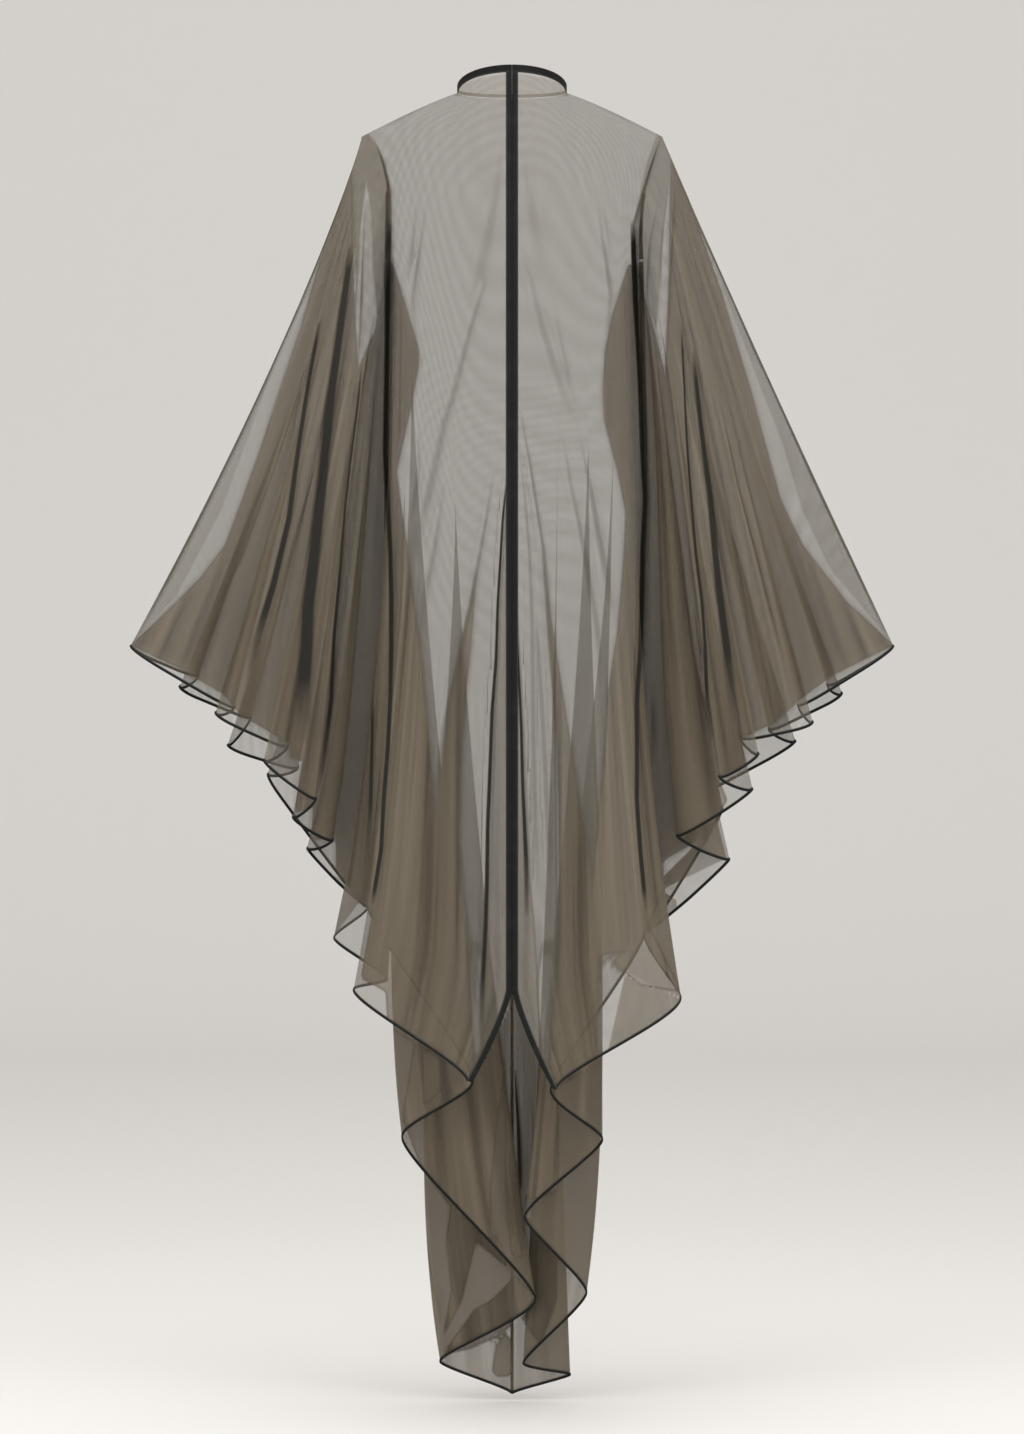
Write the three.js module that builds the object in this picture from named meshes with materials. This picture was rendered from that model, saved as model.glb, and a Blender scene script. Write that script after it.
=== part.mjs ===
// Kimono abaya of sheer cloth, worn open-hemmed: two fronts that meet edge to edge, a long
// two-piece back that falls in a train, and wide butterfly sleeves sewn into the side seams.
//
// Millimetres. +Z is up, the front faces -Y and +X is the wearer's left. The origin is on the
// centre line between the shoulders, at the base of the neck. Every piece is a closed wall that
// follows a fold surface, and the pieces stand a fraction of a millimetre apart at their seams.

import * as THREE from 'three';

// Cloth and seams
const CLOTH = 1.2; // wall of every cut piece
const TRIM = 1.0; // wall of bands and tapes
const SEAM = 0.3; // clear space beside each seam
const SLEEVE_LAYER = 0.85; // a sleeve edge, from the middle of the side seam
const BODY_LAYER = 2.3; // a front or back edge, from the middle of the side seam
const SEAM_SHIFT = 0.85; // body and sleeve edges, each way sideways from the armhole and side seam

// Neck and shoulders
const NECK = { halfWidth: 65, frontDepth: 58, backDepth: 57, sideZ: -4, frontRise: 17, backRise: 2 };
const SHOULDER = { halfWidth: 180, tipZ: -56, slope: 1.15 };
const NECK_SHARE = 0.2; // share of a body piece's columns that lie on the neckline

// Body rows: armhole rows first, then rows down the side seam
const ARMHOLE_ROWS = 6;
const SEAM_ROWS = 8;
const ARMHOLE_SHARE = 0.2;
const UNDERARM_Z = -206;

// Fall of the cloth
const SHOULDER_FADE = 45; // how fast the shoulder line gives way to the round of the body
const FRONT_FALL = 5; // how fast the front reaches its hem depth
const BACK_FALL = 3.5; // and the back
const SECTION_POWER = 1.4; // roundness of the body's section
const BODY_FOLD_GROWTH = 2; // folds grow from nothing at the shoulder to full at the hem
const SLEEVE_FOLD_GROWTH = 1.3; // and from the armhole
const SIDE_HOLD = 4; // how near its seam a piece follows it
const SLEEVE_BELLY = 16; // how far a sleeve stands out between armhole and hem
const LEVEL_TURNS = { body: 0.5, sleeve: 1 }; // how level a hem runs round each turn of a fold
const PART_WAYS = { body: 6, sleeve: 4, narrow: 6, start: 12 }; // beside the seam, body in, sleeve out
const BOW_GROWTH = 3; // a fold line that bows does so low down

// Centre front
const APEX = { z: -1070, share: 0.9, curve: 1.25 }; // the fronts part below this height
const FRONT_BAND = { width: 5.4, joint: 0.3 };
const CENTRE_BACK_GAP = 0.2;

// Bands, tapes and bindings
const NECK_BAND = { height: 8, wall: 1.4, clear: 1 };
const BACK_NECK_BINDING = { height: 4, wall: 1.2, clear: 1 };
const NECK_STEPS = 6;
const HEM_BINDING = { width: 3.2, gap: 0.8, inset: 1.2, steepest: 0.8 };
const SIDE_TAPE = { start: 1.9, width: 5.6, end: 0.99 };
const UNDERARM_TAPE = { first: 3.4, last: 5.9, back: 1 }; // places along the armhole, and behind it
const CENTRE_BACK_TAPE_WIDTH = 4;

// Each side: armhole from shoulder tip to underarm, side seam by share of its drop, and sleeve edge
const SIDES = {
  right: {
    sign: -1,
    armhole: [
      { out: 180, depth: 0, z: -56 },
      { out: 166, depth: 20, z: -62 },
      { out: 155, depth: 36, z: -84 },
      { out: 147, depth: 44, z: -114 },
      { out: 145.5, depth: 42, z: -146 },
      { out: 145.5, depth: 28, z: -178 },
      { out: 146, depth: 0, z: UNDERARM_Z },
    ],
    seam: [
      { share: 0, out: 146 },
      { share: 0.5, out: 146.5 },
      { share: 0.84, out: 155 },
      { share: 1, out: 173 },
    ],
    seamEndZ: -978,
    wrist: { out: 457, z: -666, hang: 44 },
  },
  left: {
    sign: 1,
    armhole: [
      { out: 180, depth: 0, z: -56 },
      { out: 175, depth: 20, z: -68 },
      { out: 167, depth: 36, z: -90 },
      { out: 157, depth: 44, z: -118 },
      { out: 151.5, depth: 42, z: -148 },
      { out: 149.5, depth: 28, z: -178 },
      { out: 150.5, depth: 0, z: UNDERARM_Z },
    ],
    seam: [
      { share: 0, out: 150.5 },
      { share: 0.35, out: 155 },
      { share: 0.65, out: 147 },
      { share: 0.8, out: 147.5 },
      { share: 1, out: 160 },
    ],
    seamEndZ: -1008,
    wrist: { out: 457, z: -666, hang: 10 },
  },
};

// Hems, one row for each turn of a fold. column counts along the piece, from the centre line or
// the wrist to the side seam. bow swings a fold line sideways at three quarters of its length.
const HEMS = {
  front_right: [
    { column: 0, x: -51, y: -150, z: -1176 },
    { column: 13, x: -186, y: -125, z: -1070 },
    { column: 17, x: -150, y: -92, z: -1060 },
    { column: 21, x: -217, y: -58, z: -1013 },
    { column: 25, x: -173, y: -BODY_LAYER, z: -978 },
  ],
  front_left: [
    { column: 0, x: 51, y: -150, z: -1185 },
    { column: 18, x: 203, y: -80, z: -1081 },
    { column: 25, x: 160, y: -BODY_LAYER, z: -1008 },
  ],
  back_right: [
    { column: 0, x: -CENTRE_BACK_GAP, y: 172, z: -1591 },
    { column: 5, x: -89, y: 160, z: -1549, bow: -36 },
    { column: 12, x: 28, y: 128, z: -1467 },
    { column: 19, x: -137, y: 92, z: -1264, bow: -24 },
    { column: 24, x: -53, y: 48, z: -1192 },
    { column: 30, x: -173, y: BODY_LAYER, z: -978 },
  ],
  back_left: [
    { column: 0, x: CENTRE_BACK_GAP, y: 172, z: -1591 },
    { column: 5, x: 72, y: 163, z: -1566 },
    { column: 9, x: 14, y: 145, z: -1549 },
    { column: 14, x: 92, y: 122, z: -1458, bow: 25 },
    { column: 19, x: 17, y: 98, z: -1363 },
    { column: 25, x: 114, y: 72, z: -1265 },
    { column: 30, x: 53, y: 42, z: -1202 },
    { column: 35, x: 160, y: BODY_LAYER, z: -1008 },
  ],
  sleeve_front_right: [
    { column: 0, x: -457, y: -SLEEVE_LAYER, z: -666 },
    { column: 5, x: -331, y: -30, z: -739 },
    { column: 9, x: -352, y: -50, z: -746 },
    { column: 14, x: -265, y: -66, z: -785 },
    { column: 18, x: -292, y: -80, z: -802 },
    { column: 22, x: -230, y: -80, z: -847 },
    { column: 26, x: -257, y: -60, z: -869 },
    { column: 30, x: -209, y: -42, z: -897 },
    { column: 33, x: -241, y: -22, z: -908 },
    { column: 36, x: -173, y: -SLEEVE_LAYER, z: -978 },
  ],
  sleeve_back_right: [
    { column: 0, x: -457, y: SLEEVE_LAYER, z: -666 },
    { column: 5, x: -378, y: 28, z: -700 },
    { column: 9, x: -402, y: 44, z: -714 },
    { column: 15, x: -316, y: 58, z: -750 },
    { column: 19, x: -345, y: 74, z: -785 },
    { column: 24, x: -258, y: 74, z: -812 },
    { column: 28, x: -292, y: 46, z: -820 },
    { column: 36, x: -173, y: SLEEVE_LAYER, z: -978 },
  ],
  sleeve_front_left: [
    { column: 0, x: 457, y: -SLEEVE_LAYER, z: -666 },
    { column: 5, x: 341, y: -30, z: -737 },
    { column: 9, x: 357, y: -50, z: -757 },
    { column: 14, x: 270, y: -66, z: -775 },
    { column: 18, x: 290, y: -80, z: -794 },
    { column: 22, x: 243, y: -80, z: -821 },
    { column: 26, x: 282, y: -60, z: -836 },
    { column: 30, x: 192, y: -42, z: -892 },
    { column: 33, x: 256, y: -22, z: -921 },
    { column: 36, x: 160, y: -SLEEVE_LAYER, z: -1008 },
  ],
  sleeve_back_left: [
    { column: 0, x: 457, y: SLEEVE_LAYER, z: -666 },
    { column: 5, x: 380, y: 28, z: -712 },
    { column: 9, x: 399, y: 44, z: -722 },
    { column: 15, x: 311, y: 58, z: -765 },
    { column: 19, x: 344, y: 74, z: -780 },
    { column: 24, x: 229, y: 74, z: -841 },
    { column: 28, x: 251, y: 46, z: -860 },
    { column: 36, x: 160, y: SLEEVE_LAYER, z: -1008 },
  ],
};

const SHEER_BROWN = { color: 0x6f6455, roughness: 0.75, metalness: 0 };
const BLACK_BINDING = { color: 0x25272a, roughness: 0.6, metalness: 0 };
const SELF_BINDING = { color: 0x5b5145, roughness: 0.7, metalness: 0 };

const garment = new THREE.Group();

function add(name, geometry, finish) {
  const mesh = new THREE.Mesh(geometry, new THREE.MeshStandardMaterial(finish));
  mesh.name = name;
  garment.add(mesh);
}

// ---- Curves ---------------------------------------------------------------------------------

const mix = (a, b, t) => a + (b - a) * t;
const ease = (t) => (1 - Math.cos(Math.PI * t)) / 2;

// The two rows around a place in a table, and the share of the way between them
function between(rows, key, place) {
  let i = 0;
  while (i < rows.length - 2 && rows[i + 1][key] < place) i += 1;
  return { i, t: (place - rows[i][key]) / (rows[i + 1][key] - rows[i][key]) };
}

// A smooth curve through one column of a table
function smooth(rows, key, place, name) {
  const { i, t } = between(rows, key, place);
  const slope = (j) => {
    const low = rows[Math.max(j - 1, 0)];
    const high = rows[Math.min(j + 1, rows.length - 1)];
    return (high[name] - low[name]) / (high[key] - low[key]);
  };
  const span = rows[i + 1][key] - rows[i][key];
  const t2 = t * t;
  const t3 = t2 * t;
  return (
    (2 * t3 - 3 * t2 + 1) * rows[i][name] +
    (t3 - 2 * t2 + t) * span * slope(i) +
    (3 * t2 - 2 * t3) * rows[i + 1][name] +
    (t3 - t2) * span * slope(i + 1)
  );
}

// Along a hem x swings from turn to turn and y runs on through the turns, so that each is round.
// z does some of both: level is the share of its fall that pauses at the turns.
function hemPoint(hem, column, level) {
  const { i, t } = between(hem, 'column', column);
  const pausing = mix(hem[i].z, hem[i + 1].z, ease(t));
  return {
    x: mix(hem[i].x, hem[i + 1].x, ease(t)),
    y: smooth(hem, 'column', column, 'y'),
    z: mix(smooth(hem, 'column', column, 'z'), pausing, level),
    bow: mix(hem[i].bow ?? 0, hem[i + 1].bow ?? 0, ease(t)),
  };
}

// From shoulder tip (0) to underarm (1), in straight stretches that body and sleeve share
function armholeLine(side, share) {
  const place = share * ARMHOLE_ROWS;
  const i = Math.min(Math.floor(place), ARMHOLE_ROWS - 1);
  const [a, b] = [side.armhole[i], side.armhole[i + 1]];
  const t = place - i;
  return { out: mix(a.out, b.out, t), depth: mix(a.depth, b.depth, t), z: mix(a.z, b.z, t) };
}

function sideSeam(side, share) {
  return { out: smooth(side.seam, 'share', share, 'out'), z: mix(UNDERARM_Z, side.seamEndZ, share) };
}

// A hump between 0 and 1, one unit tall, whose top lies at power / (power + 1)
function hump(t, power) {
  const top = power / (power + 1);
  return (t ** power * (1 - t)) / (top ** power * (1 - top));
}

// How far a piece swings off its line just beside the side seam, from none at the top
function swingBesideSeam(reach, u, v) {
  return reach * hump(u, PART_WAYS.narrow) * (1 - (1 - v) ** PART_WAYS.start);
}

function overarm(side, share) {
  const { wrist } = side;
  const droop = wrist.hang * Math.sqrt(share) * (1 - share);
  return {
    out: mix(SHOULDER.halfWidth, wrist.out, share) - droop,
    z: mix(SHOULDER.tipZ, wrist.z, share),
  };
}

// ---- Body pieces ----------------------------------------------------------------------------

// The neckline from the centre (0) to the shoulder (1). start is how far off the centre it begins.
function neckline(side, face, share, start) {
  const first = Math.asin(start / NECK.halfWidth);
  const angle = mix(first, Math.PI / 2, share);
  const depth = face < 0 ? NECK.frontDepth : NECK.backDepth;
  const rise = face < 0 ? NECK.frontRise : NECK.backRise;
  return new THREE.Vector3(
    side.sign * NECK.halfWidth * Math.sin(angle),
    face * (depth * Math.cos(angle) + SLEEVE_LAYER * share),
    NECK.sideZ + rise * Math.cos(angle),
  );
}

function shoulderLine(side, face, share) {
  return new THREE.Vector3(
    side.sign * mix(NECK.halfWidth, SHOULDER.halfWidth - SEAM_SHIFT, share),
    face * SLEEVE_LAYER,
    mix(NECK.sideZ, SHOULDER.tipZ, share ** SHOULDER.slope),
  );
}

function bodyTop(piece, u) {
  if (u <= NECK_SHARE) return neckline(piece.side, piece.face, u / NECK_SHARE, piece.centreGap);
  return shoulderLine(piece.side, piece.face, (u - NECK_SHARE) / (1 - NECK_SHARE));
}

// The edge along armhole and side seam
function bodyFlank(piece, v) {
  const { side, face } = piece;
  if (v < ARMHOLE_SHARE) {
    const share = v / ARMHOLE_SHARE;
    const line = armholeLine(side, share);
    return new THREE.Vector3(
      side.sign * (line.out - SEAM_SHIFT),
      face * (line.depth + mix(SLEEVE_LAYER, BODY_LAYER, share)),
      line.z,
    );
  }
  const share = (v - ARMHOLE_SHARE) / (1 - ARMHOLE_SHARE);
  const line = sideSeam(side, share);
  return new THREE.Vector3(side.sign * (line.out - SEAM_SHIFT), face * BODY_LAYER, line.z);
}

// The edge down the centre: straight at the back, and parting below the apex at the front
function bodyCentre(piece, v) {
  const { face, hem, centreGap } = piece;
  const top = bodyTop(piece, 0);
  const fall = face < 0 ? FRONT_FALL : BACK_FALL;
  const y = mix(top.y, hem[0].y, 1 - (1 - v) ** fall);
  if (face > 0) return new THREE.Vector3(top.x, y, mix(top.z, hem[0].z, v));
  const below = Math.max(0, (v - APEX.share) / (1 - APEX.share));
  const above = Math.min(1, v / APEX.share);
  const apexX = Math.sign(hem[0].x) * centreGap;
  return new THREE.Vector3(
    mix(apexX, hem[0].x, below ** APEX.curve),
    y,
    mix(mix(top.z, APEX.z, above), hem[0].z, below),
  );
}

function bodyPoint(piece, column, v) {
  const { hem, face } = piece;
  const last = hem[hem.length - 1];
  const u = column / last.column;
  const top = bodyTop(piece, u);
  const turn = hemPoint(hem, column, LEVEL_TURNS.body);
  const centre = bodyCentre(piece, v);
  const flank = bodyFlank(piece, v);
  const topCentre = bodyTop(piece, 0);
  const topFlank = bodyTop(piece, 1);
  const nearCentre = (1 - u) ** SIDE_HOLD;
  const nearFlank = u ** SIDE_HOLD;
  const fold = v ** BODY_FOLD_GROWTH;
  const plain = mix(hem[0].x, last.x, u);
  const bow = turn.bow * hump(v, BOW_GROWTH);
  const x =
    mix(top.x, plain, v) +
    fold * (turn.x - plain) +
    bow -
    piece.side.sign * swingBesideSeam(PART_WAYS.body, u, v) +
    nearCentre * (centre.x - mix(topCentre.x, hem[0].x, v)) +
    nearFlank * (flank.x - mix(topFlank.x, last.x, v));
  const z =
    mix(top.z, turn.z, v) +
    (1 - u) * (centre.z - mix(topCentre.z, hem[0].z, v)) +
    u * (flank.z - mix(topFlank.z, last.z, v));
  const section = Math.cos((Math.PI / 2) * u ** SECTION_POWER);
  const round = section * centre.y + (1 - section) * flank.y;
  const roundTop = section * topCentre.y + (1 - section) * topFlank.y;
  const roundHem = section * hem[0].y + (1 - section) * face * BODY_LAYER;
  const y = round + (1 - v) ** SHOULDER_FADE * (top.y - roundTop) + fold * (turn.y - roundHem);
  return new THREE.Vector3(x, y, z);
}

// ---- Sleeve pieces --------------------------------------------------------------------------

function sleevePoint(piece, column, v) {
  const { hem, side, face } = piece;
  const last = hem[hem.length - 1];
  const u = column / last.column;
  const arm = armholeLine(side, u);
  const top = new THREE.Vector3(
    side.sign * (arm.out + SEAM_SHIFT),
    face * (arm.depth + SLEEVE_LAYER),
    arm.z,
  );
  const turn = hemPoint(hem, column, LEVEL_TURNS.sleeve);
  const over = overarm(side, v);
  const seam = sideSeam(side, v);
  const plain = mix(hem[0].x, last.x, u);
  const nearOver = (1 - u) ** SIDE_HOLD;
  const nearSeam = u ** SIDE_HOLD;
  const fold = v ** SLEEVE_FOLD_GROWTH;
  const tip = side.sign * (SHOULDER.halfWidth + SEAM_SHIFT);
  const underarm = side.sign * (side.armhole[ARMHOLE_ROWS].out + SEAM_SHIFT);
  const x =
    mix(top.x, plain, v) +
    fold * (turn.x - plain) +
    side.sign * swingBesideSeam(PART_WAYS.sleeve, u, v) +
    nearOver * (side.sign * (over.out + (1 - v) * SEAM_SHIFT) - mix(tip, hem[0].x, v)) +
    nearSeam * (side.sign * (seam.out + SEAM_SHIFT) - mix(underarm, last.x, v));
  const belly = SLEEVE_BELLY * Math.sin(Math.PI * u) * Math.sin(Math.PI * v);
  const y = mix(top.y, turn.y, v) + face * belly;
  return new THREE.Vector3(x, y, mix(top.z, turn.z, v));
}

// ---- Walls and strips -----------------------------------------------------------------------

// Turns a closed mesh the right way round: its faces point out where its volume is positive
function closedGeometry(points, faces) {
  let volume = 0;
  for (const [a, b, c] of faces) {
    volume += points[a].dot(new THREE.Vector3().crossVectors(points[b], points[c]));
  }
  const index = volume > 0 ? faces.flat() : faces.flatMap(([a, b, c]) => [a, c, b]);
  const geometry = new THREE.BufferGeometry().setFromPoints(points);
  geometry.setIndex(index);
  geometry.computeVertexNormals();
  return geometry;
}

// The direction square to a grid of points, at one of them
function gridNormal(grid, i, j) {
  const { rows, columns, at, normals } = grid;
  if (normals) return normals[i];
  const along = at(Math.min(i + 1, columns), j).clone().sub(at(Math.max(i - 1, 0), j));
  const down = at(i, Math.min(j + 1, rows)).clone().sub(at(i, Math.max(j - 1, 0)));
  return along.cross(down).normalize();
}

// A sheet of points becomes a wall, half its thickness to each side, closed round its rim
function wall(grid, thickness) {
  const { rows, columns, at } = grid;
  const points = [];
  for (const half of [thickness / 2, -thickness / 2]) {
    for (let j = 0; j <= rows; j += 1) {
      for (let i = 0; i <= columns; i += 1) {
        points.push(at(i, j).clone().addScaledVector(gridNormal(grid, i, j), half));
      }
    }
  }
  const inner = (columns + 1) * (rows + 1);
  const id = (i, j, layer) => layer * inner + j * (columns + 1) + i;
  const faces = [];
  const quad = (a, b, c, d) => faces.push([a, b, c], [a, c, d]);
  for (let j = 0; j < rows; j += 1) {
    for (let i = 0; i < columns; i += 1) {
      quad(id(i, j, 0), id(i, j + 1, 0), id(i + 1, j + 1, 0), id(i + 1, j, 0));
      quad(id(i, j, 1), id(i + 1, j, 1), id(i + 1, j + 1, 1), id(i, j + 1, 1));
    }
  }
  for (let i = 0; i < columns; i += 1) {
    quad(id(i, 0, 0), id(i + 1, 0, 0), id(i + 1, 0, 1), id(i, 0, 1));
    quad(id(i, rows, 0), id(i, rows, 1), id(i + 1, rows, 1), id(i + 1, rows, 0));
  }
  for (let j = 0; j < rows; j += 1) {
    quad(id(0, j, 0), id(0, j, 1), id(0, j + 1, 1), id(0, j + 1, 0));
    quad(id(columns, j, 0), id(columns, j + 1, 0), id(columns, j + 1, 1), id(columns, j, 1));
  }
  return closedGeometry(points, faces);
}

// A flat strip between two lines of points. normals, if given, are the ones it shares with the
// piece that it lies beside.
function strip(inner, outer, thickness, normals) {
  const at = (i, j) => (j === 0 ? inner[i] : outer[i]);
  return wall({ rows: 1, columns: inner.length - 1, at, normals }, thickness);
}

function steps(count) {
  return Array.from({ length: count + 1 }, (_, i) => i);
}

// Rows of a body piece: even along the armhole, then even down the side seam
function bodyRow(j) {
  if (j <= ARMHOLE_ROWS) return (ARMHOLE_SHARE * j) / ARMHOLE_ROWS;
  return ARMHOLE_SHARE + ((1 - ARMHOLE_SHARE) * (j - ARMHOLE_ROWS)) / SEAM_ROWS;
}

function bodyGrid(piece) {
  const columns = piece.hem[piece.hem.length - 1].column;
  const rows = ARMHOLE_ROWS + SEAM_ROWS;
  const points = steps(rows).map((j) => steps(columns).map((i) => bodyPoint(piece, i, bodyRow(j))));
  return { rows, columns, at: (i, j) => points[j][i] };
}

function sleeveGrid(piece) {
  const columns = piece.hem[piece.hem.length - 1].column;
  const points = steps(SEAM_ROWS).map((j) =>
    steps(columns).map((i) => sleevePoint(piece, i, j / SEAM_ROWS)),
  );
  return { rows: SEAM_ROWS, columns, at: (i, j) => points[j][i] };
}

// A binding carries a piece's hem on past its edge, in line with the cloth, from just inside one
// end to just inside the other. It keeps its width where the hem runs steeply.
function hemBinding(grid) {
  const { columns, rows, at } = grid;
  const reach = (i, distance) => {
    const along = at(Math.min(i + 1, columns), rows).clone().sub(at(Math.max(i - 1, 0), rows));
    const down = at(i, rows).clone().sub(at(i, rows - 1)).normalize();
    const steep = Math.sin(along.angleTo(down));
    const edge = at(i, rows).clone();
    if (i === 0) edge.add(along.clone().setLength(HEM_BINDING.inset));
    if (i === columns) edge.sub(along.clone().setLength(HEM_BINDING.inset));
    return edge.addScaledVector(down, distance / Math.max(steep, HEM_BINDING.steepest));
  };
  const inner = steps(columns).map((i) => reach(i, HEM_BINDING.gap));
  const outer = steps(columns).map((i) => reach(i, HEM_BINDING.gap + HEM_BINDING.width));
  return strip(inner, outer, TRIM, steps(columns).map((i) => gridNormal(grid, i, rows)));
}

// A tape along the side seam, just inside the sleeve, where the bound seam edges are turned
function sideSeamTape(side) {
  const edge = (beyond) =>
    steps(SEAM_ROWS).map((j) => {
      const line = sideSeam(side, (SIDE_TAPE.end * j) / SEAM_ROWS);
      return new THREE.Vector3(side.sign * (line.out + SIDE_TAPE.start + beyond), 0, line.z);
    });
  return strip(edge(0), edge(SIDE_TAPE.width), TRIM);
}

// A band carries a front on from its centre edge to the middle of the garment
function frontBand(grid) {
  const { rows, at } = grid;
  const reach = (j, distance) => {
    const away = at(0, j).clone().sub(at(1, j));
    const down = at(0, Math.min(j + 1, rows)).clone().sub(at(0, Math.max(j - 1, 0))).normalize();
    away.addScaledVector(down, -away.dot(down)).setLength(distance);
    return away.add(at(0, j));
  };
  const inner = steps(rows).map((j) => reach(j, SEAM));
  const outer = steps(rows).map((j) => reach(j, SEAM + FRONT_BAND.width));
  return strip(inner, outer, CLOTH);
}

// A band stands on a run of neckline points
function standingBand(line, band) {
  const rise = (distance) => line.map((p) => p.clone().add(new THREE.Vector3(0, 0, distance)));
  return strip(rise(band.clear), rise(band.clear + band.height), band.wall);
}

// A tape behind the lower half of the front armhole seam, widening down to the side seam's
function underarmTape(side) {
  const { first, last } = UNDERARM_TAPE;
  const inside = steps(ARMHOLE_ROWS).filter((i) => i > first && i < last);
  const places = [first, ...inside, last];
  const edge = (place, beyond) => {
    const line = armholeLine(side, place / ARMHOLE_ROWS);
    const share = place / ARMHOLE_ROWS;
    const width = mix(0, SIDE_TAPE.width, share);
    const out = line.out + SIDE_TAPE.start * share + beyond * width;
    return new THREE.Vector3(side.sign * out, -line.depth + UNDERARM_TAPE.back, line.z);
  };
  return strip(places.map((p) => edge(p, 0)), places.map((p) => edge(p, 1)), TRIM);
}

// A tape over the centre back seam, on the outside
function centreBackTape(grid) {
  const { rows, at } = grid;
  const middle = steps(rows).map((j) => {
    const normal = gridNormal(grid, 0, j).clone().setX(0).normalize();
    if (normal.y < 0) normal.negate();
    return at(0, j).clone().addScaledVector(normal, CLOTH / 2 + SEAM + TRIM / 2);
  });
  const beside = (x) => middle.map((p) => p.clone().setX(x));
  return strip(beside(-CENTRE_BACK_TAPE_WIDTH / 2), beside(CENTRE_BACK_TAPE_WIDTH / 2), TRIM);
}

// ---- The garment ----------------------------------------------------------------------------

const backNeckline = [];
for (const [word, side] of Object.entries(SIDES)) {
  const fullBand = FRONT_BAND.joint + FRONT_BAND.width + SEAM;
  const grids = {
    front: bodyGrid({ side, face: -1, hem: HEMS[`front_${word}`], centreGap: fullBand }),
    back: bodyGrid({ side, face: 1, hem: HEMS[`back_${word}`], centreGap: CENTRE_BACK_GAP }),
    sleeve_front: sleeveGrid({ side, face: -1, hem: HEMS[`sleeve_front_${word}`] }),
    sleeve_back: sleeveGrid({ side, face: 1, hem: HEMS[`sleeve_back_${word}`] }),
  };
  for (const [piece, grid] of Object.entries(grids)) {
    add(`${piece}_${word}`, wall(grid, CLOTH), SHEER_BROWN);
    add(`${piece}_hem_binding_${word}`, hemBinding(grid), BLACK_BINDING);
  }
  add(`front_band_${word}`, frontBand(grids.front), BLACK_BINDING);
  add(`side_seam_tape_${word}`, sideSeamTape(side), BLACK_BINDING);
  add(`underarm_tape_${word}`, underarmTape(side), BLACK_BINDING);

  const neckPoints = (face, start) =>
    steps(NECK_STEPS).map((i) => neckline(side, face, i / NECK_STEPS, start));
  add(`neck_band_${word}`, standingBand(neckPoints(-1, FRONT_BAND.joint), NECK_BAND), BLACK_BINDING);
  if (word === 'right') {
    backNeckline.push(...neckPoints(1, CENTRE_BACK_GAP).reverse());
    add('centre_back_tape', centreBackTape(grids.back), BLACK_BINDING);
  } else {
    backNeckline.push(...neckPoints(1, CENTRE_BACK_GAP));
  }
}
add('back_neck_binding', standingBand(backNeckline, BACK_NECK_BINDING), SELF_BINDING);

export default garment;
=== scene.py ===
# Kimono abaya of sheer dark brown chiffon with black bound edges, in its hollow worn shape.
import math

import bpy
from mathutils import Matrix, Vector


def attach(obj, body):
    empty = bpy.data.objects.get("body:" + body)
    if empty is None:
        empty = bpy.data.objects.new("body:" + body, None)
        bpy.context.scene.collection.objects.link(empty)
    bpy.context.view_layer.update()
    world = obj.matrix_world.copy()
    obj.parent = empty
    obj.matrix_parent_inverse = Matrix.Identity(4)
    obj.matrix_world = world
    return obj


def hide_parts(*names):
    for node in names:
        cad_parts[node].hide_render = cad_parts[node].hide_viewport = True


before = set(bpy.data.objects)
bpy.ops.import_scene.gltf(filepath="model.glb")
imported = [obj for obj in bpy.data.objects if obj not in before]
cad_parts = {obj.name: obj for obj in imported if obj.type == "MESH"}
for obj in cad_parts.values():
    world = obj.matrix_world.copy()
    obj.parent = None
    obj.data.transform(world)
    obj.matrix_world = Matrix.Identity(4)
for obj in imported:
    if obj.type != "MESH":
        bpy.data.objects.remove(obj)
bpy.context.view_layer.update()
bpy.ops.object.select_all(action="DESELECT")

# ---- Studio -----------------------------------------------------------------------------------
# A pale floor that sweeps up into a plain backdrop, painted a little darker back and up as painted shade,
# soft light from above and both sides, and a camera level with the middle of the garment, five metres in
# front of it.
FLOOR_Z = -1.601
BACKDROP_Y = 7.5
SWEEP_RADIUS = 2.0
FLOOR_FRONT = 7
PAPER = {"across": 24, "run": 21, "cuts": 90}
CAMERA = {"away": 5.0, "level": -0.7524, "field": 1.7208, "sensor": 24.0}


def linear(hex_colour):
    channels = [int(hex_colour[i : i + 2], 16) / 255 for i in (1, 3, 5)]
    return [c / 12.92 if c <= 0.04045 else ((c + 0.055) / 1.055) ** 2.4 for c in channels] + [1]


def add_node(tree, kind, settings=None, inputs=None):
    """One shader node, with its settings and its inputs, each a value or a node and its output"""
    node = tree.nodes.new(f"ShaderNode{kind}")
    for name, value in (settings or {}).items():
        setattr(node, name, value)
    for name, value in (inputs or {}).items():
        if isinstance(value, tuple) and isinstance(value[0], bpy.types.Node):
            tree.links.new(value[0].outputs[value[1]], node.inputs[name])
        else:
            node.inputs[name].default_value = value
    return node


def new_material(name):
    material = bpy.data.materials.new(name)
    material.use_nodes = True
    material.node_tree.nodes.clear()
    return material, material.node_tree


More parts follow.
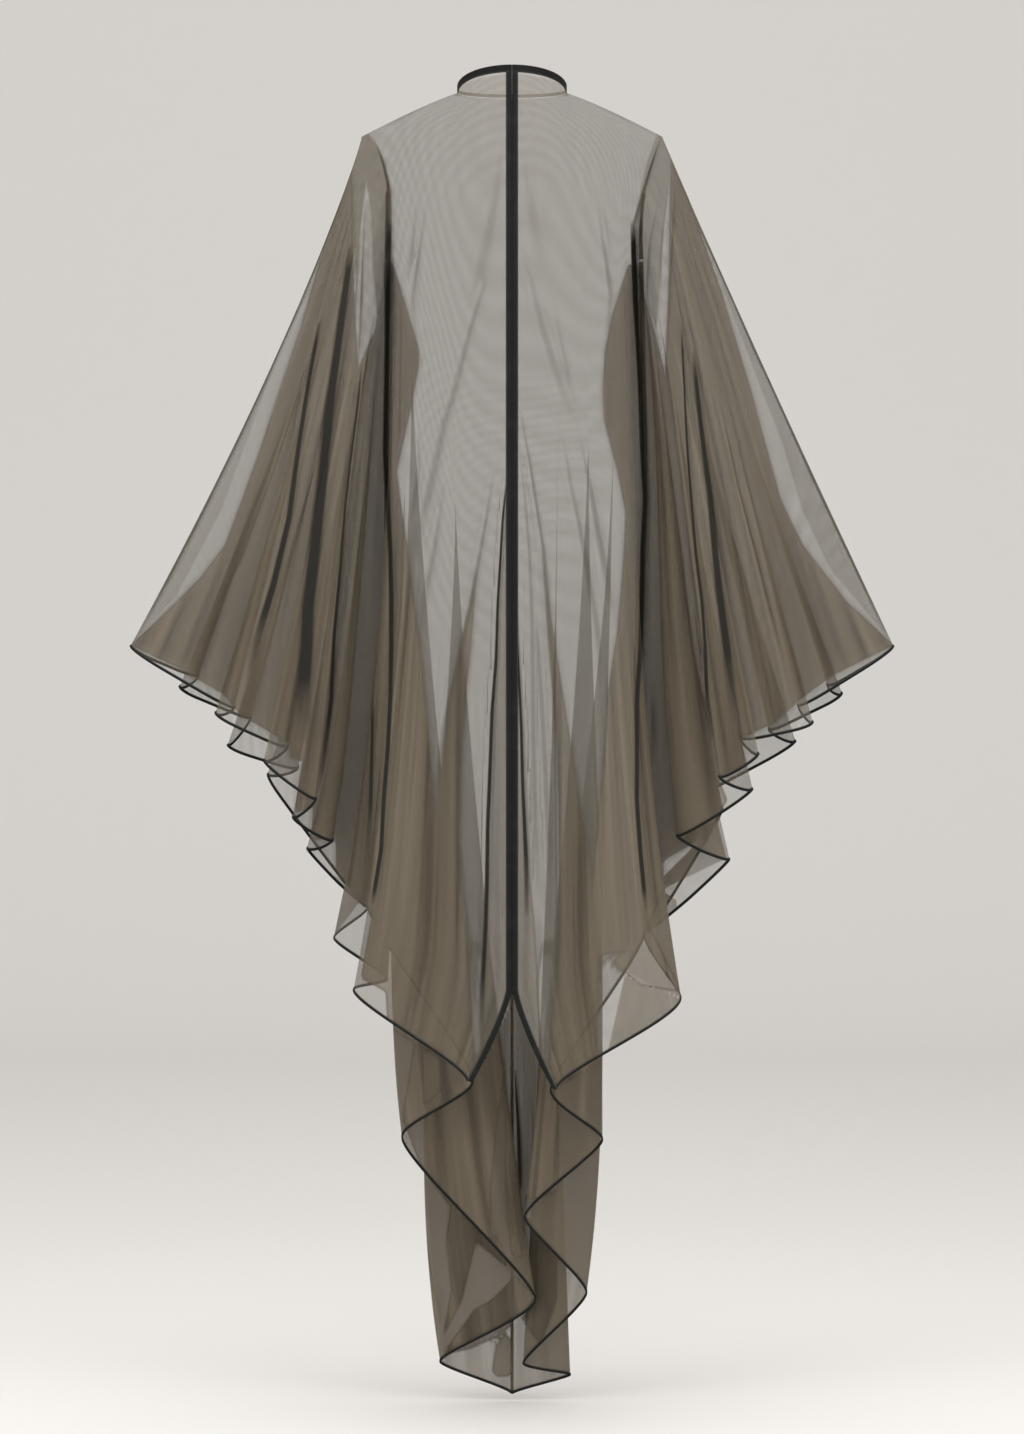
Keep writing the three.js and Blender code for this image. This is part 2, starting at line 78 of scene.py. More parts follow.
bpy.ops.mesh.primitive_plane_add(size=1, location=(0, 0, 0))
studio = bpy.context.object
studio.name = "studio_sweep"
bpy.ops.object.mode_set(mode="EDIT")
bpy.ops.mesh.select_all(action="SELECT")
bpy.ops.mesh.subdivide(number_cuts=PAPER["cuts"])
bpy.ops.object.mode_set(mode="OBJECT")
for vertex in studio.data.vertices:
    across, run = vertex.co.x * PAPER["across"], (vertex.co.y + 0.5) * PAPER["run"]
    flat = FLOOR_FRONT + BACKDROP_Y - SWEEP_RADIUS
    bend = SWEEP_RADIUS * math.pi / 2
    if run < flat:
        vertex.co = (across, run - FLOOR_FRONT, FLOOR_Z)
    elif run < flat + bend:
        angle = (run - flat) / SWEEP_RADIUS
        vertex.co = (
            across,
            BACKDROP_Y - SWEEP_RADIUS + SWEEP_RADIUS * math.sin(angle),
            FLOOR_Z + SWEEP_RADIUS * (1 - math.cos(angle)),
        )
    else:
        vertex.co = (across, BACKDROP_Y, FLOOR_Z + SWEEP_RADIUS + run - flat - bend)
bpy.ops.object.shade_smooth()
paper, tree = new_material("matt_backdrop_paper")
place = add_node(tree, "TexCoord")
split = add_node(tree, "SeparateXYZ", None, {"Vector": (place, "Object")})
back_and_up = add_node(
    tree, "Math", {"operation": "MULTIPLY_ADD"}, {0: (split, "Y"), 1: 0.45, 2: (split, "Z")}
)
rise = add_node(
    tree, "MapRange", {"interpolation_type": "SMOOTHSTEP"},
    {"From Min": -1.6, "From Max": -0.6, "Value": (back_and_up, "Value")},
)
# Painted shade: the paper goes from #f6f3f1 on the floor to #ebe9e7 further back and up the backdrop.
shade = add_node(
    tree, "Mix", {"data_type": "RGBA"},
    {"A": linear("#f6f3f1"), "B": linear("#ebe9e7"), "Factor": (rise, "Result")},
)
paper_shader = add_node(
    tree, "BsdfPrincipled", None,
    {"Roughness": 0.9, "Specular IOR Level": 0.1, "Base Color": (shade, "Result")},
)
add_node(tree, "OutputMaterial", None, {"Surface": (paper_shader, "BSDF")})
studio.data.materials.append(paper)

LIGHTS = [
    {"name": "overhead", "place": (0, -1.5, 3.2), "aim": (0, 0.3, -0.8), "size": 4.0, "watts": 100},
    {"name": "left", "place": (-3.6, -3.0, 0.8), "aim": (0, 0, -0.8), "size": 2.6, "watts": 48},
    {"name": "right", "place": (3.6, -3.0, 0.8), "aim": (0, 0, -0.8), "size": 2.6, "watts": 42},
]
for lamp in LIGHTS:
    bpy.ops.object.light_add(type="AREA", location=lamp["place"])
    light = bpy.context.object
    light.name = f"softbox_{lamp['name']}"
    light.data.size = lamp["size"]
    light.data.energy = lamp["watts"]
    light.rotation_euler = (Vector(lamp["aim"]) - Vector(lamp["place"])).to_track_quat("-Z", "Y").to_euler()
world = bpy.data.worlds.new("studio_air")
world.use_nodes = True
world.node_tree.nodes["Background"].inputs["Color"].default_value = linear("#fffdfa")
world.node_tree.nodes["Background"].inputs["Strength"].default_value = 0.66
bpy.context.scene.world = world
bpy.context.scene.cycles.transparent_max_bounces = 96
bpy.context.scene.view_settings.view_transform = "Standard"

bpy.ops.object.camera_add(location=(0, -CAMERA["away"], CAMERA["level"]), rotation=(math.pi / 2, 0, 0))
camera = bpy.context.object
camera.data.sensor_fit = "VERTICAL"
camera.data.sensor_height = CAMERA["sensor"]
camera.data.lens = CAMERA["sensor"] * CAMERA["away"] / CAMERA["field"]
bpy.context.scene.camera = camera

# ---- Fronts -----------------------------------------------------------------------------------
# Two panels of chiffon, a plain weave of fine twisted yarns that the light passes through. Each is
# cut in one length from shoulder to hem, falls straight from the neck, and is sewn to the sleeve
# and the back down its side. Two layers of the weave beat together into watery rings.
MM = 0.001
CLOTH = 0.5
SLEEVE_LAYER = 0.85
BODY_LAYER = 2.3
SEAM_SHIFT = 0.1
NECK = {"half_width": 65, "front_depth": 58, "back_depth": 57, "side_z": -4, "front_rise": 17, "back_rise": 2}
SHOULDER = {"half_width": 180, "tip_z": -56, "slope": 1.15}
NECK_SHARE = 0.2
ARMHOLE_SHARE = 0.2
UNDERARM_Z = -206
SHOULDER_FADE = 45
FALL = {"front": 5, "back": 3.5}
SECTION_POWER = 1.4
SWING = {"body": 6, "sleeve": 4, "power": 6, "start": 12}
BODY_FOLDS = {"pause": 0.5, "growth": 2, "bow": 3}
SIDE_HOLD = 4
APEX = {"z": -1070, "share": 0.9, "curve": 1.25}
CENTRE_GAP = {"front": 6, "back": 0.2}
# Sizes are in mm. An armhole row gives out, depth and height, a seam row gives its share of the
# way down and out, and a hem row gives its column, across, back, up and the bow of its fold.
SIDES = {
    "right": {
        "sign": -1,
        "armhole": [
            (180, 0, -56), (166, 20, -62), (155, 36, -84), (147, 44, -114), (145.5, 42, -146),
            (145.5, 28, -178), (146, 0, UNDERARM_Z),
        ],
        "seam": [(0, 146), (0.5, 146.5), (0.84, 155), (1, 173)],
        "seam_end_z": -978,
        "wrist": {"out": 457, "hang": 44},
    },
    "left": {
        "sign": 1,
        "armhole": [
            (180, 0, -56), (175, 20, -68), (167, 36, -90), (157, 44, -118), (151.5, 42, -148),
            (149.5, 28, -178), (150.5, 0, UNDERARM_Z),
        ],
        "seam": [(0, 150.5), (0.35, 155), (0.65, 147), (0.8, 147.5), (1, 160)],
        "seam_end_z": -1008,
        "wrist": {"out": 457, "hang": 10},
    },
}


def mix(a, b, t):
    return a + (b - a) * t


def ease(t):
    return (1 - math.cos(math.pi * t)) / 2


def bell(distance, width):
    return math.exp(-((distance / width) ** 2))


def smooth(rows, place, column):
    """A smooth curve through one column of a table of rows, whose first column is the place"""
    i = 0
    while i < len(rows) - 2 and rows[i + 1][0] < place:
        i += 1

    def slope(j):
        low, high = rows[max(j - 1, 0)], rows[min(j + 1, len(rows) - 1)]
        return (high[column] - low[column]) / (high[0] - low[0])

    span = rows[i + 1][0] - rows[i][0]
    t = (place - rows[i][0]) / span
    return (
        (2 * t**3 - 3 * t**2 + 1) * rows[i][column]
        + (t**3 - 2 * t**2 + t) * span * slope(i)
        + (3 * t**2 - 2 * t**3) * rows[i + 1][column]
        + (t**3 - t**2) * span * slope(i + 1)
    )


def hem_point(hem, column, level):
    """x, y, z and bow of a fold line that ends at this column of the hem"""
    i = 0
    while i < len(hem) - 2 and hem[i + 1][0] < column:
        i += 1
    t = ease((column - hem[i][0]) / (hem[i + 1][0] - hem[i][0]))
    pausing = mix(hem[i][3], hem[i + 1][3], t)
    return (
        mix(hem[i][1], hem[i + 1][1], t),
        smooth(hem, column, 2),
        mix(smooth(hem, column, 3), pausing, level),
        mix(hem[i][4], hem[i + 1][4], t),
    )


def armhole_line(side, share):
    rows = side["armhole"]
    place = share * (len(rows) - 1)
    i = min(int(place), len(rows) - 2)
    return [mix(rows[i][k], rows[i + 1][k], place - i) for k in range(3)]


def side_seam(side, share):
    return smooth(side["seam"], share, 1), mix(UNDERARM_Z, side["seam_end_z"], share)


def hump(t, power):
    top = power / (power + 1)
    return t**power * (1 - t) / (top**power * (1 - top))


def neckline(side, face, share, start):
    first = math.asin(start / NECK["half_width"])
    angle = mix(first, math.pi / 2, share)
    depth = NECK["front_depth"] if face < 0 else NECK["back_depth"]
    rise = NECK["front_rise"] if face < 0 else NECK["back_rise"]
    return (
        side["sign"] * NECK["half_width"] * math.sin(angle),
        face * (depth * math.cos(angle) + SLEEVE_LAYER * share),
        NECK["side_z"] + rise * math.cos(angle),
    )


def body_top(piece, u):
    side, face = piece["side"], piece["face"]
    if u <= NECK_SHARE:
        return neckline(side, face, u / NECK_SHARE, piece["gap"])
    share = (u - NECK_SHARE) / (1 - NECK_SHARE)
    return (
        side["sign"] * mix(NECK["half_width"], SHOULDER["half_width"] - SEAM_SHIFT, share),
        face * SLEEVE_LAYER,
        mix(NECK["side_z"], SHOULDER["tip_z"], share ** SHOULDER["slope"]),
    )


def body_flank(piece, v):
    side, face = piece["side"], piece["face"]
    if v < ARMHOLE_SHARE:
        share = v / ARMHOLE_SHARE
        out, depth, z = armhole_line(side, share)
        return side["sign"] * (out - SEAM_SHIFT), face * (depth + mix(SLEEVE_LAYER, BODY_LAYER, share)), z
    out, z = side_seam(side, (v - ARMHOLE_SHARE) / (1 - ARMHOLE_SHARE))
    return side["sign"] * (out - SEAM_SHIFT), face * BODY_LAYER, z


def body_centre(piece, v):
    hem, face = piece["hem"], piece["face"]
    top = body_top(piece, 0)
    fall = FALL["front"] if face < 0 else FALL["back"]
    y = mix(top[1], hem[0][2], 1 - (1 - v) ** fall)
    if face > 0:
        return top[0], y, mix(top[2], hem[0][3], v)
    below = max(0, (v - APEX["share"]) / (1 - APEX["share"]))
    above = min(1, v / APEX["share"])
    x = mix(math.copysign(piece["gap"], hem[0][1]), hem[0][1], below ** APEX["curve"])
    return x, y, mix(mix(top[2], APEX["z"], above), hem[0][3], below)


def body_point(piece, column, v):
    hem, face, sign = piece["hem"], piece["face"], piece["side"]["sign"]
    last = hem[-1]
    u = column / last[0]
    top = body_top(piece, u)
    turn_x, turn_y, turn_z, bow = hem_point(hem, column, BODY_FOLDS["pause"])
    centre, flank = body_centre(piece, v), body_flank(piece, v)
    top_centre, top_flank = body_top(piece, 0), body_top(piece, 1)
    near_centre, near_flank = (1 - u) ** SIDE_HOLD, u**SIDE_HOLD
    fold = v ** BODY_FOLDS["growth"]
    plain = mix(hem[0][1], last[1], u)
    swing = SWING["body"] * hump(u, SWING["power"]) * (1 - (1 - v) ** SWING["start"])
    x = (
        mix(top[0], plain, v)
        + fold * (turn_x - plain)
        + bow * hump(v, BODY_FOLDS["bow"])
        - sign * swing
        + near_centre * (centre[0] - mix(top_centre[0], hem[0][1], v))
        + near_flank * (flank[0] - mix(top_flank[0], last[1], v))
    )
    z = (
        mix(top[2], turn_z, v)
        + (1 - u) * (centre[2] - mix(top_centre[2], hem[0][3], v))
        + u * (flank[2] - mix(top_flank[2], last[3], v))
    )
    section = math.cos(math.pi / 2 * u**SECTION_POWER)
    rounded = section * centre[1] + (1 - section) * flank[1]
    round_top = section * top_centre[1] + (1 - section) * top_flank[1]
    round_hem = section * hem[0][2] + (1 - section) * face * BODY_LAYER
    y = rounded + (1 - v) ** SHOULDER_FADE * (top[1] - round_top) + fold * (turn_y - round_hem)
    return x, y, z


FRONT_DRAWING = {"away": 5000, "level": -752.4}
CREASE = {"pull": 5, "far": 9, "shade": 5, "slope": 3}
FADE = {"deep": 0.5, "deep_head": 35, "head": 90, "seam_tail": 25, "tail": 80}
TAPER = {"head": 0.5, "gain": 0.9}
EDGE_REACH = 8
PANEL_EDGES = {"sides": 12, "top": 14, "hem": 20}
SOFT_ABOVE = {"from": -1080, "over": 100}
CLOTH_VALUES = ("layer_edge", "fullness", "haze_edge", "haze", "crease_off", "crease_dark")


def on_drawing(place):
    """Where a place falls on the full-size drawing of the front, so that layers line up on it"""
    scale = FRONT_DRAWING["away"] / (FRONT_DRAWING["away"] + place.y)
    return place.x * scale, FRONT_DRAWING["level"] + (place.z - FRONT_DRAWING["level"]) * scale


def off_segment(x, z, start, end):
    """Signed distance to a straight piece of a line, positive on its left"""
    dx, dz = end[0] - start[0], end[1] - start[1]
    length = dx * dx + dz * dz
    t = min(1, max(0, ((x - start[0]) * dx + (z - start[1]) * dz) / length))
    away = math.hypot(x - start[0] - t * dx, z - start[1] - t * dz)
    return away if dx * (z - start[1]) - dz * (x - start[0]) >= 0 else -away


def layers_at(layers, x, z):
    """How far inside the nearest gathered area this place lies, and how full that area is"""
    best, fullness = -EDGE_REACH, 0
    for full, outline in layers:
        inside, near = False, EDGE_REACH
        for i, end in enumerate(outline):
            start = outline[i - 1]
            low, high = (start[1], end[1]) if start[1] < end[1] else (end[1], start[1])
            if z < low - EDGE_REACH or z > high + EDGE_REACH:
                continue
            if low <= z < high and (end[0] - start[0]) * (z - start[1]) / (end[1] - start[1]) + start[0] > x:
                inside = not inside
            near = min(near, abs(off_segment(x, z, start, end)))
        depth = near if inside else -near
        if depth > best:
            best, fullness = depth, full
    return best, fullness


def crease_at(creases, x, z):
    """Signed distance to the nearest crease in half widths, how dark its painted shade or seam line is and
    how far it pulls in
    """
    offset, dark, pull = CREASE["far"], 0.0, 0.0
    for width, depth, course in creases:
        low, high = course[-1][1], course[0][1]
        if z < low or z > high:
            continue
        for start, end in zip(course, course[1:]):
            if not end[1] <= z <= start[1]:
                continue
            away = off_segment(x, z, start, end)
            head = FADE["deep_head"] if depth > FADE["deep"] else FADE["head"]
            tail = FADE["seam_tail"] if depth >= 1 else FADE["tail"]
            fade = min(1, (high - z) / head, (z - low) / tail)
            taper = TAPER["head"] + TAPER["gain"] * (high - z) / (high - low)
            broad = width * taper if depth < 1 else width
            reach = broad + CREASE["shade"]
            pull = max(pull, depth * fade * bell(away, 2 * broad + CREASE["slope"]))
            shown = depth * fade * min(1, max(0, 2 * (1 - abs(away) / reach)))
            if shown > dark:
                offset, dark = away / broad * 2, shown
    return offset, dark, pull


def make_panel(name, piece, point, columns, rows):
    """A grid laid on the panel's form, with its creases, its thickness and its flat cloth as UVs"""
    last = piece["hem"][-1][0]
    bpy.ops.mesh.primitive_grid_add(x_subdivisions=columns, y_subdivisions=rows, size=1)
    panel = bpy.context.object
    panel.name = f"{name}_chiffon"
    mesh = panel.data
    spots = [(min(1, max(0, v.co.x + 0.5)), min(1, max(0, 0.5 - v.co.y))) for v in mesh.vertices]
    places = [Vector(point(piece, u * last, v)) for u, v in spots]
    for vertex, place in zip(mesh.vertices, places):
        vertex.co = place * MM
    mesh.update()
    for word in CLOTH_VALUES:
        mesh.attributes.new(word, "FLOAT", "POINT")
    values = [mesh.attributes[word].data for word in CLOTH_VALUES]
    for i, (u, v) in enumerate(spots):
        x, z = on_drawing(places[i])
        inside, fullness = layers_at(piece["layers"], x, z)
        if piece["face"] > 0:
            soft = min(1, max(0, (z - SOFT_ABOVE["from"]) / SOFT_ABOVE["over"]))
            spread = ease(min(1, max(0, (inside / EDGE_REACH + 1) / 2)))
            fullness *= mix(1, spread, soft)
            inside = mix(inside, EDGE_REACH, soft)
        hazy, haze = layers_at(piece["haze"], x, z)
        offset, dark, pull = crease_at(piece["creases"], x, z)
        sides = PANEL_EDGES["sides"] * min(u, 1 - u)
        edge = min(1, sides, PANEL_EDGES["top"] * v, PANEL_EDGES["hem"] * (1 - v))
        mesh.vertices[i].co.y -= piece["face"] * CREASE["pull"] * pull * edge * MM
        for data, value in zip(values, (inside, fullness, hazy, haze, offset, dark)):
            data[i].value = value
    flat_width, flat_length = piece["flat"]
    for loop, uv in zip(mesh.loops, mesh.uv_layers.active.data):
        u, v = spots[loop.vertex_index]
        uv.uv = (u * flat_width, v * flat_length)
    wall = panel.modifiers.new("cloth", "SOLIDIFY")
    wall.thickness = CLOTH * MM
    wall.offset = 0
    bpy.ops.object.modifier_apply(modifier=wall.name)
    bpy.ops.object.shade_smooth()
    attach(panel, "root")
    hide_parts(name)
    return panel


# Chiffon: fine dark yarns with open spaces between them, so it is coloured smoke over what lies
# behind. The beat of one layer on another is drawn about 5 mm apart, as it really is. The 0.3 mm
# yarns are too fine to show and are drawn as slubs of 2 to 3 mm. Gathers and pleats lie several
# layers deep. Creases and the outlines of gathered areas are darkened as painted shade, with a painted
# shadow on one side of each pleat; only the seam lines are the dark seam allowance showing through.
# Long runs of the weave carry painted highlights, and painted shade inside the gathers.
chiffon, tree = new_material("chiffon_plain_weave")
place = add_node(tree, "TexCoord")
layer_edge, fullness, haze_edge, haze, crease_off, crease_dark = [
    add_node(tree, "Attribute", {"attribute_name": word}) for word in CLOTH_VALUES
]
inside = add_node(tree, "MapRange", None, {"From Min": -0.7, "From Max": 0.7, "Value": (layer_edge, "Fac")})
deep = add_node(tree, "Math", {"operation": "MULTIPLY"}, {0: (inside, "Result"), 1: (fullness, "Fac")})
hazy = add_node(tree, "MapRange", None, {"From Min": -1.2, "From Max": 1.2, "Value": (haze_edge, "Fac")})
doubled = add_node(tree, "Math", {"operation": "MULTIPLY"}, {0: (hazy, "Result"), 1: (haze, "Fac")})
gather = add_node(tree, "Math", {"operation": "MAXIMUM"}, {0: (deep, "Value"), 1: (doubled, "Value")})
height = add_node(tree, "SeparateXYZ", None, {"Vector": (place, "Object")})
off = add_node(tree, "Math", {"operation": "ABSOLUTE"}, {0: (crease_off, "Fac")})
crisp = add_node(tree, "Math", {"operation": "MULTIPLY"}, {0: (crease_dark, "Fac"), 1: 0.6})
spread = add_node(tree, "Math", {"operation": "MULTIPLY_ADD"}, {0: (crease_dark, "Fac"), 1: -0.4, 2: 1.85})
valley = add_node(
    tree,
    "MapRange",
    {"interpolation_type": "SMOOTHSTEP"},
    {
        "To Min": 1.0,
        "To Max": 0.0,
        "Value": (off, "Value"),
        "From Min": (crisp, "Value"),
        "From Max": (spread, "Value"),
    },
)
# Painted shadow: a soft darkening on one side of each crease, fading out over a few half widths.
beside = add_node(
    tree, "MapRange", None,
    {"From Min": 3.6, "From Max": 0.6, "To Min": 0.0, "To Max": 0.3, "Value": (off, "Value")},
)
one_side = add_node(tree, "Math", {"operation": "GREATER_THAN"}, {0: (crease_off, "Fac"), 1: 0.0})
slope = add_node(tree, "Math", {"operation": "MULTIPLY"}, {0: (beside, "Result"), 1: (one_side, "Value")})
crease_shade_profile = add_node(tree, "Math", {"operation": "MAXIMUM"}, {0: (valley, "Result"), 1: (slope, "Value")})
shaded_creases_and_seams = add_node(tree, "Math", {"operation": "MULTIPLY"}, {0: (crease_shade_profile, "Value"), 1: (crease_dark, "Fac")})
# Painted shade: a thin dark line along the outline of each gathered area, where the cloth turns.
rim = add_node(tree, "Math", {"operation": "ABSOLUTE"}, {0: (layer_edge, "Fac")})
fold_edge_shade = add_node(
    tree, "MapRange", {"interpolation_type": "SMOOTHSTEP"},
    {"From Min": 0.5, "From Max": 2.2, "To Min": 0.22, "To Max": 0.0, "Value": (rim, "Value")},
)
pleat_layers_and_shade = add_node(tree, "Math", {"operation": "MAXIMUM"}, {0: (shaded_creases_and_seams, "Value"), 1: (fold_edge_shade, "Result")})
stretch = add_node(tree, "Mapping", None, {"Scale": (1.0, 1.0, 0.38), "Vector": (place, "Object")})
swirl = add_node(tree, "TexNoise", None, {"Scale": 3.2, "Detail": 0.0, "Vector": (stretch, "Vector")})
rings = add_node(tree, "Math", {"operation": "MULTIPLY"}, {0: (swirl, "Fac"), 1: 380.0})
ring_wave = add_node(tree, "Math", {"operation": "SINE"}, {0: (rings, "Value")})
patches = add_node(tree, "TexNoise", None, {"Scale": 4.0, "Detail": 0.0, "Vector": (place, "Object")})
patch = add_node(
    tree, "MapRange", None, {"From Min": 0.4, "From Max": 0.6, "To Max": 1.0, "Value": (patches, "Fac")}
)
beat = add_node(tree, "Math", {"operation": "MULTIPLY"}, {0: (ring_wave, "Value"), 1: (patch, "Result")})
slub = add_node(tree, "TexNoise", None, {"Scale": 380.0, "Detail": 1.0, "Vector": (place, "UV")})
long_run = add_node(tree, "Mapping", None, {"Scale": (60.0, 1.6, 1.0), "Vector": (place, "UV")})
streak = add_node(
    tree, "TexNoise", None, {"Scale": 1.0, "Detail": 2.0, "Roughness": 0.5, "Vector": (long_run, "Vector")}
)
fuller = add_node(
    tree, "MapRange", None,
    {"From Min": -0.45, "From Max": -1.1, "To Min": 0.2, "To Max": 0.26, "Value": (height, "Z")},
)
sheer = add_node(
    tree, "Math", {"operation": "MULTIPLY_ADD"}, {0: (gather, "Value"), 1: 0.29, 2: (fuller, "Result")}
)
beaten = add_node(
    tree, "Math", {"operation": "MULTIPLY_ADD"}, {0: (beat, "Value"), 1: 0.02, 2: (sheer, "Value")}
)
slubbed = add_node(tree, "MapRange", None, {"To Min": -0.008, "To Max": 0.008, "Value": (slub, "Fac")})
woven = add_node(tree, "Math", {"operation": "ADD"}, {0: (beaten, "Value"), 1: (slubbed, "Result")})
streaked = add_node(
    tree, "MapRange", None,
    {"From Min": 0.3, "From Max": 0.7, "To Min": -0.06, "To Max": 0.06, "Value": (streak, "Fac")},
)
run_in = add_node(tree, "Math", {"operation": "MULTIPLY"}, {0: (streaked, "Result"), 1: (gather, "Value")})
varied = add_node(tree, "Math", {"operation": "ADD"}, {0: (woven, "Value"), 1: (run_in, "Value")})
pleated = add_node(
    tree, "Math", {"operation": "MULTIPLY_ADD"}, {0: (pleat_layers_and_shade, "Value"), 1: 0.6, 2: (varied, "Value")}
)
cover = add_node(tree, "Clamp", None, {"Min": 0.05, "Max": 0.97, "Value": (pleated, "Value")})
yarn = add_node(
    tree, "Mix", {"data_type": "RGBA"},
    {"A": linear("#6b665b"), "B": linear("#6d6353"), "Factor": (gather, "Value")},
)
# Painted shade: in gathered areas the dark runs of the streak noise darken the colour towards #40382c, as
# shade in the hollows of fine wrinkles.
hollow = add_node(
    tree, "MapRange", None, {"From Min": 0.5, "From Max": 0.3, "To Max": 0.75, "Value": (streak, "Fac")}
)
wrinkle_shade = add_node(tree, "Math", {"operation": "MULTIPLY"}, {0: (hollow, "Result"), 1: (inside, "Result")})
shadowed = add_node(
    tree, "Mix", {"data_type": "RGBA"},
    {"B": linear("#40382c"), "Factor": (wrinkle_shade, "Value"), "A": (yarn, "Result")},
)
# Painted highlight: the light runs of the streak noise lighten the colour towards #9d9380, as light caught on
# fine wrinkles.
glint = add_node(
    tree, "MapRange", None, {"From Min": 0.52, "From Max": 0.75, "To Max": 0.35, "Value": (streak, "Fac")}
)
glossed = add_node(
    tree, "Mix", {"data_type": "RGBA"},
    {"B": linear("#9d9380"), "Factor": (glint, "Result"), "A": (shadowed, "Result")},
)
# Painted shade: creases and the outlines of gathered areas darken the colour towards #1a1813 as well as
# thickening the cloth; only the seam lines among the creases are the dark seam allowance showing through.
shaded = add_node(
    tree, "Mix", {"data_type": "RGBA"},
    {"B": linear("#1a1813"), "Factor": (pleat_layers_and_shade, "Value"), "A": (glossed, "Result")},
)
weave_bump = add_node(tree, "Bump", None, {"Strength": 0.15, "Distance": 0.0004, "Height": (slub, "Fac")})
chiffon_shader = add_node(
    tree,
    "BsdfPrincipled",
    None,
    {
        "Roughness": 0.62,
        "IOR": 1.46,
        "Specular IOR Level": 0.3,
        "Sheen Weight": 0.05,
        "Sheen Roughness": 0.4,
        "Base Color": (shaded, "Result"),
        "Alpha": (cover, "Result"),
        "Normal": (weave_bump, "Normal"),
    },
)
add_node(tree, "OutputMaterial", None, {"Surface": (chiffon_shader, "BSDF")})


# Where the cloth hangs several layers deep, as how full and its outline, and each crease's width,
# depth and course, in mm across and up on the drawing of the front. A crease's depth sets how far it
# pulls in and how dark its painted shade is; at depth 1 it is a seam allowance showing through.
RIGHT_LAYERS = [
    (1, [
        (-144, -206), (-128, -258), (-112, -312), (-112, -331), (-125, -396), (-139, -458), (-133, -504),
        (-127, -542), (-119, -612), (-110, -673), (-98, -804), (-91, -874), (-86, -924), (-72, -1092),
        (-46, -1164), (-50, -1186), (-86, -1164), (-119, -1142), (-149, -1124), (-151, -1082), (-180, -1066),
        (-166, -986), (-154, -900), (-154, -206)
    ]),
    (0.8, [
        (-43, -578), (-50, -672), (-61, -780), (-65, -896), (-59, -970), (-46, -1158), (-50, -1200),
        (-86, -1200), (-91, -874), (-82, -780), (-60, -660)
    ]),
    (0.45, [
        (-6, -492), (-14, -612), (-22, -756), (-25, -912), (-31, -1044), (-38, -1169), (-8, -1106),
        (-1, -1092), (-1, -516)
    ]),
    (1, [
        (-192, -72), (-200, -120), (-212, -144), (-233, -214), (-254, -288), (-278, -358), (-302, -432),
        (-326, -498), (-344, -546), (-374, -586), (-416, -628), (-457, -666), (-398, -694), (-343, -726),
        (-326, -749), (-300, -764), (-266, -784), (-266, -800), (-251, -804), (-257, -840), (-259, -866),
        (-238, -859), (-241, -898), (-210, -898), (-211, -938), (-180, -972), (-166, -986), (-180, -1062),
        (-146, -1074), (-142, -972), (-142, -214), (-149, -206), (-164, -288), (-185, -337), (-190, -252),
        (-192, -132)
    ]),
]
